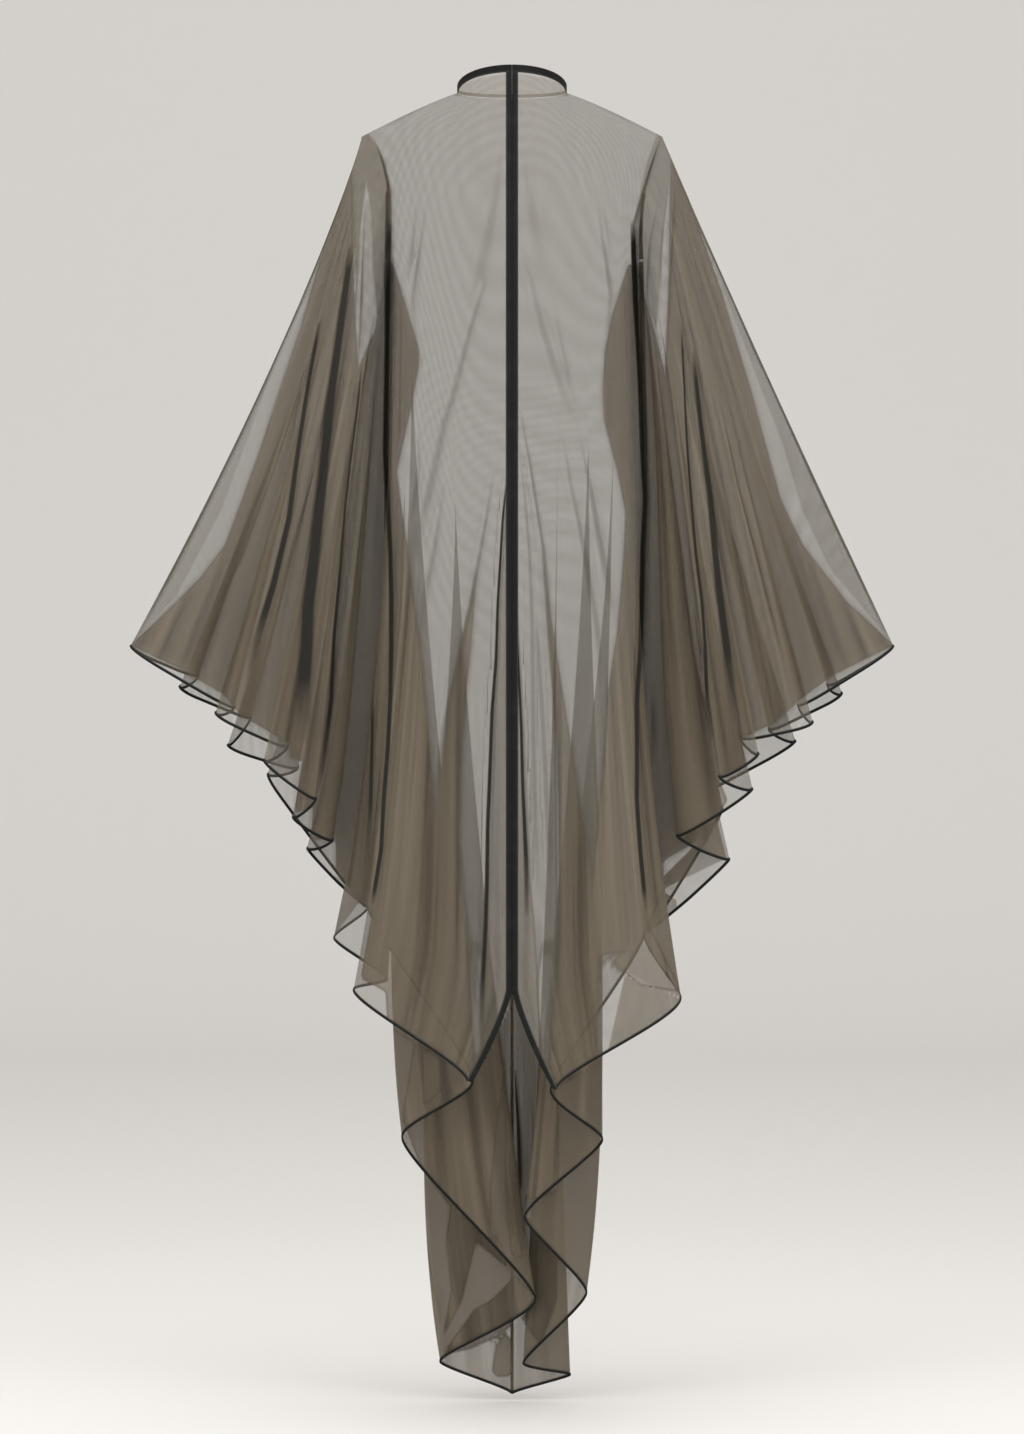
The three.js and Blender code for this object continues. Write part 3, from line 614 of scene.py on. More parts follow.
RIGHT_CREASES = [
    (3.0, 0.45, [
        (-179, -56), (-195, -107), (-214, -158), (-234, -208), (-255, -259), (-278, -310), (-301, -361),
        (-325, -412), (-350, -463), (-375, -514), (-401, -564), (-428, -615), (-456, -666)
    ]),
    (3.4, 0.45, [(-65, -5), (-88, -13), (-111, -23), (-134, -34), (-157, -45), (-180, -57)]),
    (5.5, 1, [
        (-146, -150), (-149, -192), (-149, -252), (-150, -312), (-151, -372), (-152, -432), (-149, -492),
        (-146, -552), (-145, -612), (-145, -672), (-146, -732), (-149, -792), (-154, -852), (-157, -912),
        (-169, -986)
    ]),
    (3.4, 0.6, [
        (-175, -50), (-169, -55), (-160, -72), (-154, -90), (-148, -118), (-146, -139), (-146, -180)
    ]),
    (7.8, 0.15, [(-17, -180), (-50, -288), (-71, -370), (-80, -396), (-97, -474), (-120, -568)]),
    (6.6, 0.14, [(-78, -456), (-91, -540), (-105, -617), (-112, -667)]),
    (5.9, 0.2, [(-20, -448), (-31, -516), (-49, -617), (-66, -696), (-80, -761), (-91, -870)]),
    (5.3, 0.18, [(-43, -612), (-55, -708), (-61, -780), (-64, -896), (-59, -970), (-46, -1152)]),
    (4.2, 0.98, [
        (-6, -463), (-11, -514), (-14, -565), (-17, -617), (-19, -682), (-24, -748), (-26, -809), (-29, -882),
        (-30, -954), (-32, -1013), (-35, -1070), (-37, -1144)
    ]),
    (5.3, 0.2, [(-114, -132), (-125, -250)]),
    (4.3, 0.18, [(-102, -128), (-119, -252), (-115, -300)]),
    (11.5, 0.1, [(-11, -60), (-20, -132), (-34, -204), (-50, -288)]),
    (5.3, 0.15, [(-112, -396), (-112, -461), (-120, -514), (-126, -544)]),
    (6.9, 0.98, [
        (-229, -268), (-244, -349), (-256, -426), (-268, -515), (-286, -592), (-304, -652), (-318, -708)
    ]),
    (14.0, 0.98, [
        (-191, -180), (-203, -260), (-215, -349), (-221, -398), (-228, -472), (-238, -560), (-245, -620),
        (-247, -673), (-251, -730), (-247, -786)
    ]),
    (3.9, 0.98, [
        (-180, -330), (-187, -391), (-194, -444), (-200, -497), (-206, -568), (-214, -655), (-217, -730),
        (-223, -780), (-230, -834)
    ]),
    (4.9, 0.98, [(-167, -720), (-168, -780), (-170, -868), (-175, -937)]),
    (1.7, 0.35, [(-206, -168), (-228, -252), (-259, -372), (-286, -456), (-326, -564), (-374, -660)]),
    (3.6, 0.5, [(-140, -564), (-140, -613)]),
    (4.6, 0.2, [(-193, -72), (-190, -192), (-185, -337)]),
    (2.4, 0.36, [(-176, -138), (-179, -204), (-182, -288), (-185, -334)]),
    (3.2, 0.15, [(-170, -138), (-166, -216), (-162, -278)]),
]
RIGHT_HAZE = [
    (0.5, [(-70, -7), (-62, 6), (-40, 14), (0, 20), (0, -7)]),
    (0.2, [(-182, -168), (-175, -132), (-170, -138), (-162, -278), (-175, -324), (-185, -337), (-186, -252)]),
    (0.65, [
        (-194, -58), (-175, -48), (-154, -84), (-145, -120), (-145, -206), (-154, -240), (-162, -278),
        (-170, -138), (-175, -108), (-182, -168), (-186, -252), (-193, -132)
    ]),
    (0.2, [
        (-192, -58), (-218, -120), (-300, -300), (-386, -498), (-457, -666), (-403, -607), (-348, -502),
        (-266, -276), (-200, -108)
    ]),
    (0.6, [(-216, -938), (-180, -970), (-218, -1020), (-224, -1014)]),
]
LEFT_LAYERS = [
    (1, [
        (140, -210), (120, -272), (112, -314), (109, -360), (111, -396), (128, -461), (137, -508),
        (134, -565), (127, -648), (114, -734), (113, -780), (97, -954), (88, -1008), (70, -1092), (44, -1170),
        (53, -1196), (101, -1172), (104, -1039), (139, -1030), (166, -1014), (154, -972), (154, -209)
    ]),
    (0.8, [
        (37, -558), (44, -617), (73, -804), (97, -954), (88, -1044), (44, -1170), (58, -1013), (56, -852),
        (54, -780), (44, -660)
    ]),
    (0.8, [(120, -1046), (139, -1030), (166, -1008), (204, -1082), (154, -1074)]),
    (0.45, [(1, -660), (1, -1080), (22, -1128), (35, -1166), (28, -1020), (19, -924), (14, -828), (8, -720)]),
    (1, [
        (192, -72), (214, -138), (250, -240), (286, -360), (322, -492), (349, -547), (401, -614), (457, -666),
        (382, -703), (346, -730), (316, -758), (274, -778), (280, -810), (246, -823), (258, -852),
        (232, -895), (180, -925), (182, -960), (166, -996), (160, -1020), (146, -1030), (146, -209),
        (160, -252), (173, -300), (184, -344), (188, -252), (190, -132)
    ]),
]
LEFT_CREASES = [
    (3.0, 0.45, [
        (179, -56), (200, -107), (222, -158), (245, -208), (268, -259), (290, -310), (314, -361), (337, -412),
        (360, -463), (384, -514), (408, -564), (432, -615), (456, -666)
    ]),
    (3.4, 0.45, [(65, -5), (88, -13), (111, -23), (134, -34), (157, -45), (180, -57)]),
    (5.5, 1, [
        (145, -150), (146, -192), (148, -252), (152, -312), (155, -372), (157, -432), (160, -492),
        (157, -552), (156, -612), (154, -672), (150, -732), (150, -792), (150, -852), (154, -912),
        (161, -986)
    ]),
    (3.4, 0.6, [(180, -54), (174, -70), (166, -94), (157, -126), (148, -156), (146, -186)]),
    (3.6, 0.98, [(4, -612), (6, -656), (8, -695), (11, -761), (13, -838), (17, -925), (18, -995)]),
    (5.3, 0.23, [
        (10, -372), (13, -403), (21, -443), (29, -494), (38, -552), (44, -617), (54, -780), (58, -1013),
        (44, -1164)
    ]),
    (5.9, 0.15, [(59, -403), (71, -474), (81, -521), (91, -578), (102, -643), (112, -734)]),
    (6.6, 0.2, [(80, -409), (94, -474), (104, -532), (115, -592), (125, -646)]),
    (5.0, 0.15, [(8, -422), (14, -474), (21, -552), (24, -630), (25, -708), (26, -804), (31, -972)]),
    (5.3, 0.2, [(102, -133), (119, -244), (114, -306)]),
    (3.8, 0.15, [(110, -132), (122, -234)]),
    (7.8, 0.11, [(8, -181), (23, -228), (36, -283), (49, -324), (65, -372), (80, -409)]),
    (5.9, 0.1, [(48, -244), (60, -306), (72, -366), (82, -409)]),
    (11.5, 0.1, [(12, -72), (24, -144), (40, -228)]),
    (5.3, 0.15, [(24, -564), (34, -708), (42, -852), (48, -972)]),
    (3.6, 0.98, [
        (203, -277), (210, -420), (214, -475), (221, -558), (228, -612), (232, -667), (235, -737),
        (241, -788)
    ]),
    (8.2, 0.98, [
        (217, -311), (229, -420), (238, -488), (243, -544), (249, -599), (256, -654), (263, -709),
        (268, -758)
    ]),
    (2.2, 0.5, [(250, -372), (268, -461), (282, -516), (296, -569), (312, -635), (326, -686)]),
    (1.7, 0.35, [(182, -420), (191, -461), (202, -544), (211, -626), (227, -750), (238, -820)]),
    (2.9, 0.21, [(315, -488), (345, -596), (370, -676), (380, -701)]),
    (4.8, 0.55, [(149, -600), (146, -660)]),
    (4.8, 0.5, [(169, -709), (170, -810)]),
    (2.9, 0.3, [(197, -84), (192, -192), (187, -288), (184, -344)]),
    (3.8, 0.18, [(180, -114), (166, -180), (161, -252), (173, -300), (184, -344)]),
    (3.2, 0.15, [(187, -108), (179, -192), (178, -276)]),
]
LEFT_HAZE = [
    (0.5, [(70, -7), (0, -7), (0, 20), (40, 14), (62, 6)]),
    (0.45, [
        (194, -58), (175, -50), (161, -90), (146, -158), (146, -206), (160, -247), (173, -290), (176, -252),
        (182, -168), (190, -108)
    ]),
    (0.25, [
        (192, -58), (226, -120), (298, -288), (394, -504), (457, -666), (432, -634), (382, -575), (348, -503),
        (326, -428), (226, -168), (197, -72)
    ]),
    (0.95, [
        (106, -1042), (154, -1074), (205, -1088), (209, -1074), (197, -972), (178, -960), (257, -922),
        (244, -870), (226, -900), (154, -972), (142, -1032), (112, -1169), (154, -1140), (214, -1098)
    ]),
]
FOLDS = {
    "right": {"layers": RIGHT_LAYERS, "creases": RIGHT_CREASES, "haze": RIGHT_HAZE},
    "left": {"layers": LEFT_LAYERS, "creases": LEFT_CREASES, "haze": LEFT_HAZE},
}
FRONTS = {
    "front_right": {
        "hem": [
            (0, -51, -150, -1176, 0),
            (13, -186, -125, -1070, 0),
            (17, -150, -92, -1060, 0),
            (21, -217, -58, -1013, 0),
            (25, -173, -BODY_LAYER, -978, 0),
        ],
    },
    "front_left": {
        "hem": [(0, 51, -150, -1185, 0), (18, 203, -80, -1081, 0), (25, 160, -BODY_LAYER, -1008, 0)],
    },
}
panels = {}
for name, piece in FRONTS.items():
    word = name.split("_")[-1]
    piece.update(side=SIDES[word], face=-1, gap=CENTRE_GAP["front"], flat=(0.44, 1.2), **FOLDS[word])
    panels[name] = make_panel(name, piece, body_point, columns=150, rows=170)
    panels[name].data.materials.append(chiffon)

# ---- Backs ------------------------------------------------------------------------------------
# Two longer panels of the same chiffon, joined down the centre back. They are cut to fall behind
# the fronts in a train, and hang in deep folds whose turns show at the hem.
BACKS = {
    "back_right": {
        "hem": [
            (0, -0.2, 172, -1591, 0),
            (5, -89, 160, -1549, -36),
            (12, 28, 128, -1467, 0),
            (19, -137, 92, -1264, -24),
            (24, -53, 48, -1192, 0),
            (30, -173, BODY_LAYER, -978, 0),
        ],
    },
    "back_left": {
        "hem": [
            (0, 0.2, 172, -1591, 0),
            (5, 72, 163, -1566, 0),
            (9, 14, 145, -1549, 0),
            (14, 92, 122, -1458, 25),
            (19, 17, 98, -1363, 0),
            (25, 114, 72, -1265, 0),
            (30, 53, 42, -1202, 0),
            (35, 160, BODY_LAYER, -1008, 0),
        ],
    },
}
TRAIN_CENTRE = (1.6, [
    (-7, -1090), (-9, -1200), (-7, -1330), (0, -1400), (12, -1400), (20, -1300), (20, -1180), (3, -1082)
])
TRAIN_FOLDS = {
    "right": {
        "layers": [
            TRAIN_CENTRE,
            (1.7, [
                (0, -1086), (-38, -1164), (-130, -1236), (-110, -1290), (-46, -1379), (-1, -1417),
                (-18, -1374), (-26, -1374), (-26, -1312), (-18, -1236), (-7, -1154), (-1, -1140)
            ]),
            (1.7, [(-116, -1140), (-131, -1238), (-106, -1248), (-106, -1104)]),
            (1.7, [
                (-24, -1452), (-46, -1464), (-55, -1478), (-84, -1518), (-50, -1510), (-14, -1494),
                (17, -1466), (26, -1447), (4, -1423)
            ]),
            (1.7, [
                (-19, -1506), (-24, -1538), (-17, -1544), (-5, -1543), (10, -1531), (13, -1512),
                (-8, -1494)
            ]),
            (1.7, [
                (-72, -1326), (-79, -1380), (-72, -1440), (-82, -1494), (-60, -1452), (-43, -1380),
                (-50, -1350)
            ]),
        ],
        "creases": [
            (2.2, 0.8, [(0, -1090), (1, -1140), (4, -1176)]),
            (1.7, 0.35, [(-43, -1428), (-34, -1392), (-24, -1374)]),
            (1.7, 0.3, [(-34, -1508), (-29, -1536), (-18, -1559)]),
            (1.7, 0.35, [(-106, -1290), (-107, -1332), (-103, -1380), (-94, -1440), (-82, -1478)]),
        ],
    },
    "left": {
        "layers": [
            TRAIN_CENTRE,
            (1.7, [
                (2, -1092), (8, -1188), (13, -1308), (22, -1332), (55, -1320), (56, -1236), (53, -1206),
                (35, -1166)
            ]),
            (1.7, [
                (17, -1351), (0, -1406), (26, -1450), (12, -1474), (34, -1506), (54, -1452), (54, -1398),
                (34, -1374)
            ]),
        ],
        "creases": [
            (3.6, 0.95, [(4, -1171), (5, -1200), (8, -1248), (10, -1312), (5, -1346)]),
            (1.8, 0.25, [(18, -1171), (26, -1248), (22, -1326)]),
            (3.0, 0.6, [(19, -1358), (31, -1374), (43, -1402)]),
        ],
    },
}
TRAIN_HAZE = [
    (0.95, [
        (0, -1082), (-52, -1176), (-186, -1074), (-218, -1104), (-218, -1596), (226, -1596), (226, -1092),
        (203, -1084), (50, -1187)
    ]),
]
for name, piece in BACKS.items():
    word = name.split("_")[-1]
    piece.update(
        side=SIDES[word],
        face=1,
        gap=CENTRE_GAP["back"],
        flat=(0.62, 1.62),
        haze=FOLDS[word]["haze"] + TRAIN_HAZE,
    )
    for what in ("layers", "creases"):
        piece[what] = FOLDS[word][what] + TRAIN_FOLDS[word][what]
    panels[name] = make_panel(name, piece, body_point, columns=150, rows=200)
    panels[name].data.materials.append(chiffon)

# ---- Sleeves ----------------------------------------------------------------------------------
# Each butterfly sleeve is a front and a back of the same chiffon, joined along the top of the arm
# and sewn into the armhole and down the side seam. The cloth hangs smooth along the arm and in
# deep gathers inside that line, several layers thick.
SLEEVES = {
    "sleeve_front_right": {
        "hem": [
            (0, -457, -SLEEVE_LAYER, -666, 0),
            (5, -331, -30, -739, 0),
            (9, -352, -50, -746, 0),
            (14, -265, -66, -785, 0),
            (18, -292, -80, -802, 0),
            (22, -230, -80, -847, 0),
            (26, -257, -60, -869, 0),
            (30, -209, -42, -897, 0),
            (33, -241, -22, -908, 0),
            (36, -173, -SLEEVE_LAYER, -978, 0),
        ],
    },
    "sleeve_back_right": {
        "hem": [
            (0, -457, SLEEVE_LAYER, -666, 0),
            (5, -378, 28, -700, 0),
            (9, -402, 44, -714, 0),
            (15, -316, 58, -750, 0),
            (19, -345, 74, -785, 0),
            (24, -258, 74, -812, 0),
            (28, -292, 46, -820, 0),
            (36, -173, SLEEVE_LAYER, -978, 0),
        ],
    },
    "sleeve_front_left": {
        "hem": [
            (0, 457, -SLEEVE_LAYER, -666, 0),
            (5, 341, -30, -737, 0),
            (9, 357, -50, -757, 0),
            (14, 270, -66, -775, 0),
            (18, 290, -80, -794, 0),
            (22, 243, -80, -821, 0),
            (26, 282, -60, -836, 0),
            (30, 192, -42, -892, 0),
            (33, 256, -22, -921, 0),
            (36, 160, -SLEEVE_LAYER, -1008, 0),
        ],
    },
    "sleeve_back_left": {
        "hem": [
            (0, 457, SLEEVE_LAYER, -666, 0),
            (5, 380, 28, -712, 0),
            (9, 399, 44, -722, 0),
            (15, 311, 58, -765, 0),
            (19, 344, 74, -780, 0),
            (24, 229, 74, -841, 0),
            (28, 251, 46, -860, 0),
            (36, 160, SLEEVE_LAYER, -1008, 0),
        ],
    },
}
SCALLOP = {"deep": 6, "reach": 2}
DROOP = {"share": 1.3, "power": 0.8}
SLEEVE_GROWTH = 1.3
BELLY = 16


def overarm(side, share):
    wrist = side["wrist"]
    droop = DROOP["share"] * wrist["hang"] * share ** DROOP["power"] * (1 - share)
    return mix(SHOULDER["half_width"], wrist["out"], share) - droop


def sleeve_point(piece, column, v):
    hem, side, face = piece["hem"], piece["side"], piece["face"]
    sign, last = side["sign"], hem[-1]
    u = column / last[0]
    out, depth, top_z = armhole_line(side, u)
    top = (sign * (out + SEAM_SHIFT), face * (depth + SLEEVE_LAYER))
    turn_x, turn_y, turn_z, _ = hem_point(hem, column, 1)
    from_turn = min(1, min(abs(column - row[0]) for row in hem) / SCALLOP["reach"])
    turn_z -= SCALLOP["deep"] * from_turn * (2 - from_turn)
    seam_out, _ = side_seam(side, v)
    plain = mix(hem[0][1], last[1], u)
    near_over, near_seam = (1 - u) ** SIDE_HOLD, u**SIDE_HOLD
    tip = sign * (SHOULDER["half_width"] + SEAM_SHIFT)
    underarm = sign * (side["armhole"][-1][0] + SEAM_SHIFT)
    swing = SWING["sleeve"] * hump(u, SWING["power"]) * (1 - (1 - v) ** SWING["start"])
    x = (
        mix(top[0], plain, v)
        + v**SLEEVE_GROWTH * (turn_x - plain)
        + sign * swing
        + near_over * (sign * (overarm(side, v) + (1 - v) * SEAM_SHIFT) - mix(tip, hem[0][1], v))
        + near_seam * (sign * (seam_out + SEAM_SHIFT) - mix(underarm, last[1], v))
    )
    belly = BELLY * math.sin(math.pi * u) * math.sin(math.pi * v)
    return x, mix(top[1], turn_y, v) + face * belly, mix(top_z, turn_z, v)


for name, piece in SLEEVES.items():
    word = name.split("_")[-1]
    face = -1 if "front" in name else 1
    piece.update(side=SIDES[word], face=face, flat=(1.0, 0.9), **FOLDS[word])
    panels[name] = make_panel(name, piece, sleeve_point, columns=190, rows=150)
    panels[name].data.materials.append(chiffon)

# ---- Hem bindings -----------------------------------------------------------------------------
# A narrow black bias strip folded over each raw hem and stitched, so it stands as a slim round
# edge. Each is made along its own panel's hem and ends just short of the seams.
BINDING = {"across": 3.6, "thick": 2.2, "over": 1.2, "sides": 8}
STITCH_ROW = 1.1
ABOVE_HEM = 0.985


def hem_line(piece, point, steps):
    last = piece["hem"][-1][0]
    line = []
    for i in range(steps + 1):
        column = last * i / steps
        edge, above = Vector(point(piece, column, 1)), Vector(point(piece, column, ABOVE_HEM))
        line.append((edge, (edge - above).normalized()))
    return line


def make_binding(name, line):
    """A tube swept along the hem, wide down the cloth and slim through it"""
    count, sides = len(line), BINDING["sides"]
    bpy.ops.mesh.primitive_cylinder_add(vertices=sides, radius=1, depth=1, end_fill_type="TRIFAN")
    binding = bpy.context.object
    binding.name = f"{name}_bias"
    turns = [2 * math.pi * k / sides for k in range(sides)]
    points, faces = [], []
    for i, (edge, down) in enumerate(line):
        along = (line[min(i + 1, count - 1)][0] - line[max(i - 1, 0)][0]).normalized()
        across = (down - along * down.dot(along)).normalized()
        out = along.cross(across)
        middle = edge + across * (BINDING["across"] / 2 - BINDING["over"])
        for turn in turns:
            wide = across * math.cos(turn) * BINDING["across"] / 2
            slim = out * math.sin(turn) * BINDING["thick"] / 2
            points.append((middle + wide + slim) * MM)
    for i in range(count - 1):
        for k in range(sides):
            a, b = i * sides + k, i * sides + (k + 1) % sides
            faces.append((a, b, b + sides, a + sides))
    faces.append(tuple(range(sides - 1, -1, -1)))
    faces.append(tuple((count - 1) * sides + k for k in range(sides)))
    binding.data.clear_geometry()
    binding.data.from_pydata(points, [], faces)
    runs = [0.0]
    for (start, _), (end, _) in zip(line, line[1:]):
        runs.append(runs[-1] + (end - start).length * MM)
    cloth_uv = binding.data.uv_layers.new(name="UVMap")
    for loop, uv in zip(binding.data.loops, cloth_uv.data):
        ring, k = divmod(loop.vertex_index, sides)
        uv.uv = (runs[ring], abs(sides // 2 - k) * STITCH_ROW * MM)
    bpy.ops.object.mode_set(mode="EDIT")
    bpy.ops.mesh.select_all(action="SELECT")
    bpy.ops.mesh.normals_make_consistent(inside=False)
    bpy.ops.object.mode_set(mode="OBJECT")
    bpy.ops.object.shade_smooth()
    binding.data.materials.append(bias_tape)
    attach(binding, "root")
    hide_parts(name)
    return binding


# Black bias tape: cut from a matt plain weave, so fine ribs cross it on the slant, drawn every
# 2.4 mm, coarser than the real 0.4 mm, with paler rubbed threads. A row of 2.5 mm stitches in a
# paler thread sinks into it 1.1 mm from one edge.
bias_tape, tree = new_material("black_bias_tape")
place = add_node(tree, "TexCoord")
slant = add_node(tree, "Mapping", None, {"Rotation": (0.5, 0.78, 0.6), "Vector": (place, "Object")})
ribs = add_node(
    tree, "TexWave", {"wave_type": "BANDS"}, {"Scale": 130.0, "Distortion": 1.0, "Vector": (slant, "Vector")}
)
rub = add_node(tree, "TexNoise", None, {"Scale": 45.0, "Detail": 4.0, "Vector": (place, "Object")})
worn = add_node(
    tree, "MapRange", None, {"From Min": 0.5, "From Max": 0.8, "To Max": 0.5, "Value": (rub, "Fac")}
)
dye = add_node(
    tree, "Mix", {"data_type": "RGBA"},
    {"A": linear("#181a19"), "B": linear("#2a2b2a"), "Factor": (worn, "Result")},
)
tape_place = add_node(tree, "SeparateXYZ", None, {"Vector": (place, "UV")})
pitch = add_node(tree, "Math", {"operation": "MULTIPLY"}, {0: (tape_place, "X"), 1: 400.0})
along = add_node(tree, "Math", {"operation": "FRACT"}, {0: (pitch, "Value")})
dash = add_node(tree, "Math", {"operation": "LESS_THAN"}, {0: (along, "Value"), 1: 0.72})
row = add_node(tree, "Math", {"operation": "COMPARE"}, {0: (tape_place, "Y"), 1: STITCH_ROW * MM, 2: 0.00032})
stitch = add_node(tree, "Math", {"operation": "MULTIPLY"}, {0: (dash, "Value"), 1: (row, "Value")})
sewn = add_node(
    tree, "Mix", {"data_type": "RGBA"},
    {"B": linear("#4a4b48"), "Factor": (stitch, "Value"), "A": (dye, "Result")},
)
relief = add_node(
    tree, "Math", {"operation": "MULTIPLY_ADD"}, {0: (stitch, "Value"), 1: -1.5, 2: (ribs, "Fac")}
)
ribbed = add_node(tree, "Bump", None, {"Strength": 0.35, "Distance": 0.0005, "Height": (relief, "Value")})
tape_shader = add_node(
    tree,
    "BsdfPrincipled",
    None,
    {
        "Roughness": 0.75,
        "IOR": 1.48,
        "Specular IOR Level": 0.15,
        "Base Color": (sewn, "Result"),
        "Normal": (ribbed, "Normal"),
    },
)
add_node(tree, "OutputMaterial", None, {"Surface": (tape_shader, "BSDF")})

HEM_RUNS = ((FRONTS, body_point, 150), (BACKS, body_point, 260), (SLEEVES, sleeve_point, 300))
for group, point, steps in HEM_RUNS:
    for name, piece in group.items():
        words = name.rsplit("_", 1)
        node = f"{words[0]}_hem_binding_{words[1]}"
        make_binding(node, hem_line(piece, point, steps))

# ---- Front bands ------------------------------------------------------------------------------
# Each front's centre edge is finished with a folded black band. The two meet edge to edge from
# the neck to the apex and then part with the fronts. A row of stitches runs down each, close to
# the cloth.
BAND = {"width": 5.65, "thick": 1.4, "clear": 0.3, "under": 1.2, "beside": 0.5, "steps": 220}


def make_strip(name, inner, outer, thickness, material):
    """A flat strip between two lines of points, softly rounded over its thickness"""
    count = len(inner)
    bpy.ops.mesh.primitive_grid_add(x_subdivisions=count - 1, y_subdivisions=4, size=1)
    piece = bpy.context.object
    piece.name = f"{name}_strip"
    spots, runs = [], [0.0]
    for start, end in zip(inner, inner[1:]):
        runs.append(runs[-1] + (end - start).length * MM)
    for vertex in piece.data.vertices:
        place = (vertex.co.x + 0.5) * (count - 1)
        i = min(count - 1, max(0, round(place)))
        share = 0.5 - vertex.co.y
        vertex.co = inner[i].lerp(outer[i], min(1, max(0, share))) * MM
        spots.append((runs[i], min(1, max(0, share)) * (outer[i] - inner[i]).length * MM))
    for loop, uv in zip(piece.data.loops, piece.data.uv_layers.active.data):
        uv.uv = spots[loop.vertex_index]
    wall = piece.modifiers.new("thickness", "SOLIDIFY")
    wall.thickness = thickness * MM
    wall.offset = 0
    bpy.ops.object.modifier_apply(modifier=wall.name)
    soften = piece.modifiers.new("fold", "BEVEL")
    soften.width = 0.3 * thickness * MM
    soften.segments = 1
    soften.limit_method = "ANGLE"
    bpy.ops.object.modifier_apply(modifier=soften.name)
    bpy.ops.object.shade_smooth()
    piece.data.materials.append(material)
    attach(piece, "root")
    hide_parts(name)


for word, side in SIDES.items():
    piece = FRONTS[f"front_{word}"]
    heights = [i / BAND["steps"] for i in range(BAND["steps"] + 1)]
    rows = [Vector(body_point(piece, 0, v)) for v in heights]
    nexts = [Vector(body_point(piece, BAND["beside"], v)) for v in heights]
    inner, outer = [], []
    for i, (edge, inside) in enumerate(zip(rows, nexts)):
        down = (rows[min(i + 1, BAND["steps"])] - rows[max(i - 1, 0)]).normalized()
        away = edge - inside
        away = (away - down * away.dot(down)).normalized()
        inner.append(edge - away * BAND["under"])
        outer.append(edge + away * (BAND["clear"] + BAND["width"]))
    make_strip(f"front_band_{word}", inner, outer, BAND["thick"], bias_tape)

# ---- Neck edge --------------------------------------------------------------------------------
# A black band stands round the front of the neck, and the back of the neck has only a narrow
# binding of the garment's own chiffon, folded double.
NECK_BAND = {"height": 9, "wall": 1.6, "clear": -0.5, "start": 0.05, "steps": 40}
BACK_NECK = {"height": 4, "wall": 1.3, "clear": 1, "start": 0.2, "steps": 30}

self_tape, tree = new_material("doubled_chiffon_binding")
place = add_node(tree, "TexCoord")
yarns = add_node(tree, "TexNoise", None, {"Scale": 700.0, "Detail": 2.0, "Vector": (place, "Object")})
dye = add_node(
    tree, "Mix", {"data_type": "RGBA"},
    {"A": linear("#857a69"), "B": linear("#a4998a"), "Factor": (yarns, "Fac")},
)
rough = add_node(tree, "Bump", None, {"Strength": 0.3, "Distance": 0.0004, "Height": (yarns, "Fac")})
self_shader = add_node(
    tree,
    "BsdfPrincipled",
    None,
    {
        "Roughness": 0.75,
        "IOR": 1.46,
        "Specular IOR Level": 0.3,
        "Alpha": 0.55,
        "Base Color": (dye, "Result"),
        "Normal": (rough, "Normal"),
    },
)
add_node(tree, "OutputMaterial", None, {"Surface": (self_shader, "BSDF")})

for word, side in SIDES.items():
    shares = [i / NECK_BAND["steps"] for i in range(NECK_BAND["steps"] + 1)]
    line = [Vector(neckline(side, -1, share, NECK_BAND["start"])) for share in shares]
    low = [p + Vector((0, 0, NECK_BAND["clear"])) for p in line]
    high = [p + Vector((0, 0, NECK_BAND["clear"] + NECK_BAND["height"])) for p in line]
    make_strip(f"neck_band_{word}", low, high, NECK_BAND["wall"], bias_tape)
shares = [i / BACK_NECK["steps"] for i in range(BACK_NECK["steps"] + 1)]
back_line = [Vector(neckline(SIDES["right"], 1, 1 - share, BACK_NECK["start"])) for share in shares]
back_line += [Vector(neckline(SIDES["left"], 1, share, BACK_NECK["start"])) for share in shares]
low = [p + Vector((0, 0, BACK_NECK["clear"])) for p in back_line]
high = [p + Vector((0, 0, BACK_NECK["clear"] + BACK_NECK["height"])) for p in back_line]
make_strip("back_neck_binding", low, high, BACK_NECK["wall"], self_tape)

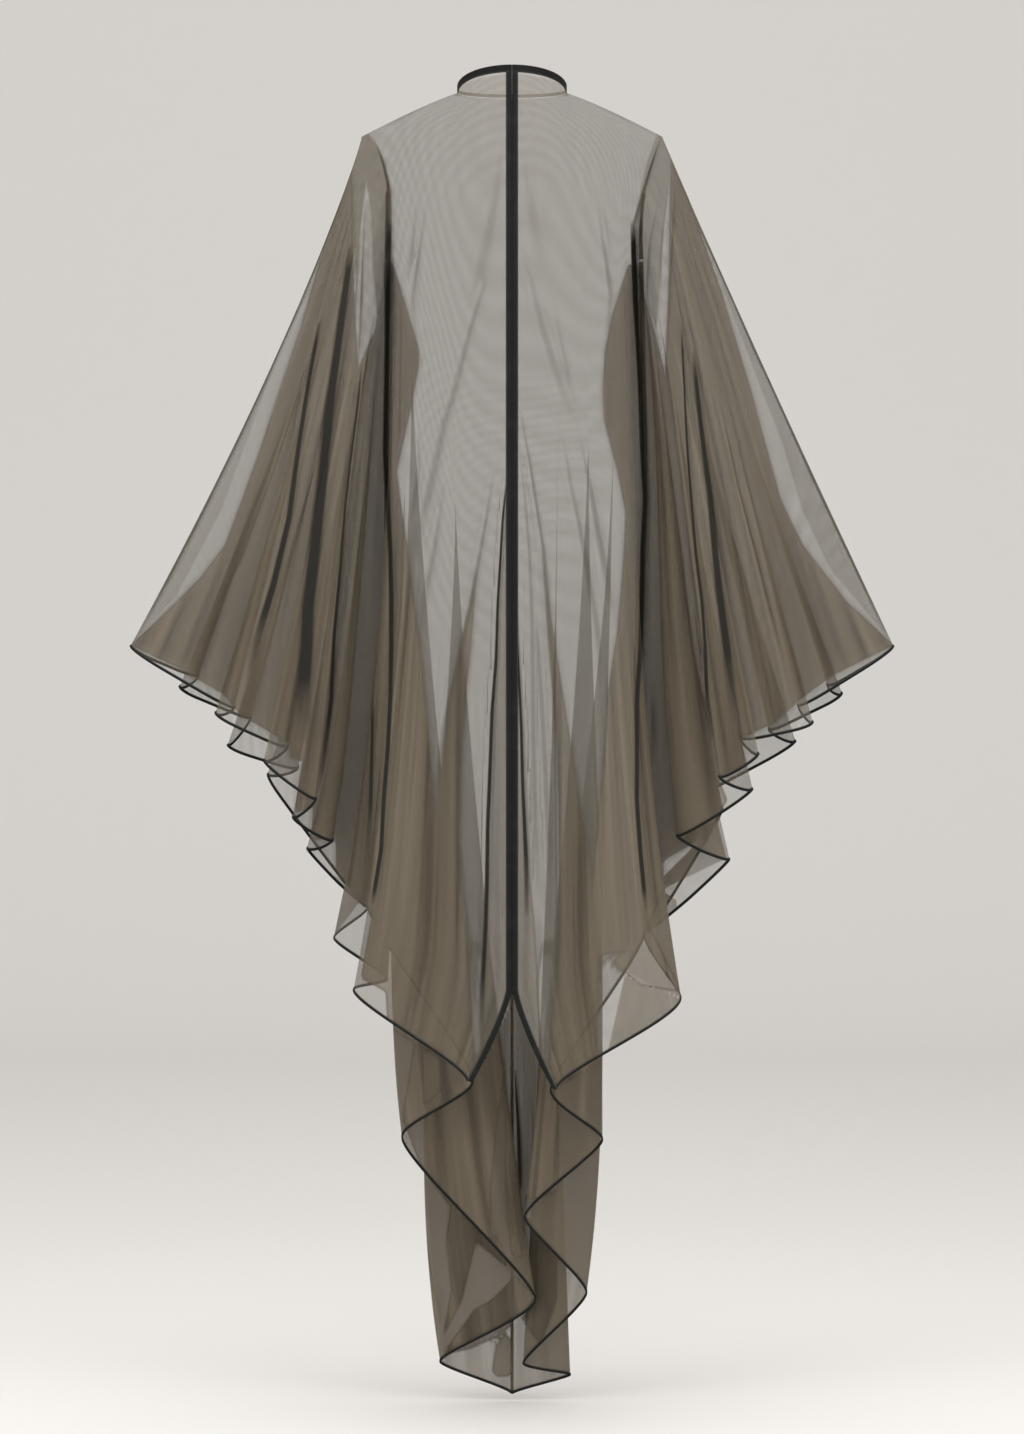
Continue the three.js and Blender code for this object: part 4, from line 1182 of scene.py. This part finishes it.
# ---- Side seams and armholes ------------------------------------------------------------------
# The seam allowances down the side and round the underarm are bound together in black tape, and
# lie inside the sleeve, where they show through the cloth as a dark line.
SIDE_TAPE = {"start": 1.9, "width": 5.6, "thick": 1.2, "end": 0.99, "steps": 120}
UNDERARM_TAPE = {"first": 3.4, "last": 5.9, "back": 1, "steps": 40}

for word, side in SIDES.items():
    inner, outer = [], []
    for i in range(SIDE_TAPE["steps"] + 1):
        out, z = side_seam(side, SIDE_TAPE["end"] * i / SIDE_TAPE["steps"])
        inner.append(Vector((side["sign"] * (out + SIDE_TAPE["start"]), 0, z)))
        outer.append(Vector((side["sign"] * (out + SIDE_TAPE["start"] + SIDE_TAPE["width"]), 0, z)))
    make_strip(f"side_seam_tape_{word}", inner, outer, SIDE_TAPE["thick"], bias_tape)
    inner, outer = [], []
    last_row = len(side["armhole"]) - 1
    for i in range(UNDERARM_TAPE["steps"] + 1):
        row_place = mix(UNDERARM_TAPE["first"], UNDERARM_TAPE["last"], i / UNDERARM_TAPE["steps"])
        share = row_place / last_row
        out, depth, z = armhole_line(side, share)
        width = SIDE_TAPE["width"] * share
        near = out + SIDE_TAPE["start"] * share
        inner.append(Vector((side["sign"] * near, -depth + UNDERARM_TAPE["back"], z)))
        outer.append(Vector((side["sign"] * (near + width), -depth + UNDERARM_TAPE["back"], z)))
    make_strip(f"underarm_tape_{word}", inner, outer, SIDE_TAPE["thick"], bias_tape)

# ---- Centre back ------------------------------------------------------------------------------
# The two backs are joined by a seam that a narrow black tape covers on the outside.
CENTRE_TAPE = {"width": 4, "off": 1.4, "thick": 1.0, "steps": 200}

line = []
for i in range(CENTRE_TAPE["steps"] + 1):
    _, y, z = body_point(BACKS["back_right"], 0, i / CENTRE_TAPE["steps"])
    line.append(Vector((0, y + CENTRE_TAPE["off"], z)))
left = [p + Vector((-CENTRE_TAPE["width"] / 2, 0, 0)) for p in line]
right = [p + Vector((CENTRE_TAPE["width"] / 2, 0, 0)) for p in line]
make_strip("centre_back_tape", left, right, CENTRE_TAPE["thick"], bias_tape)
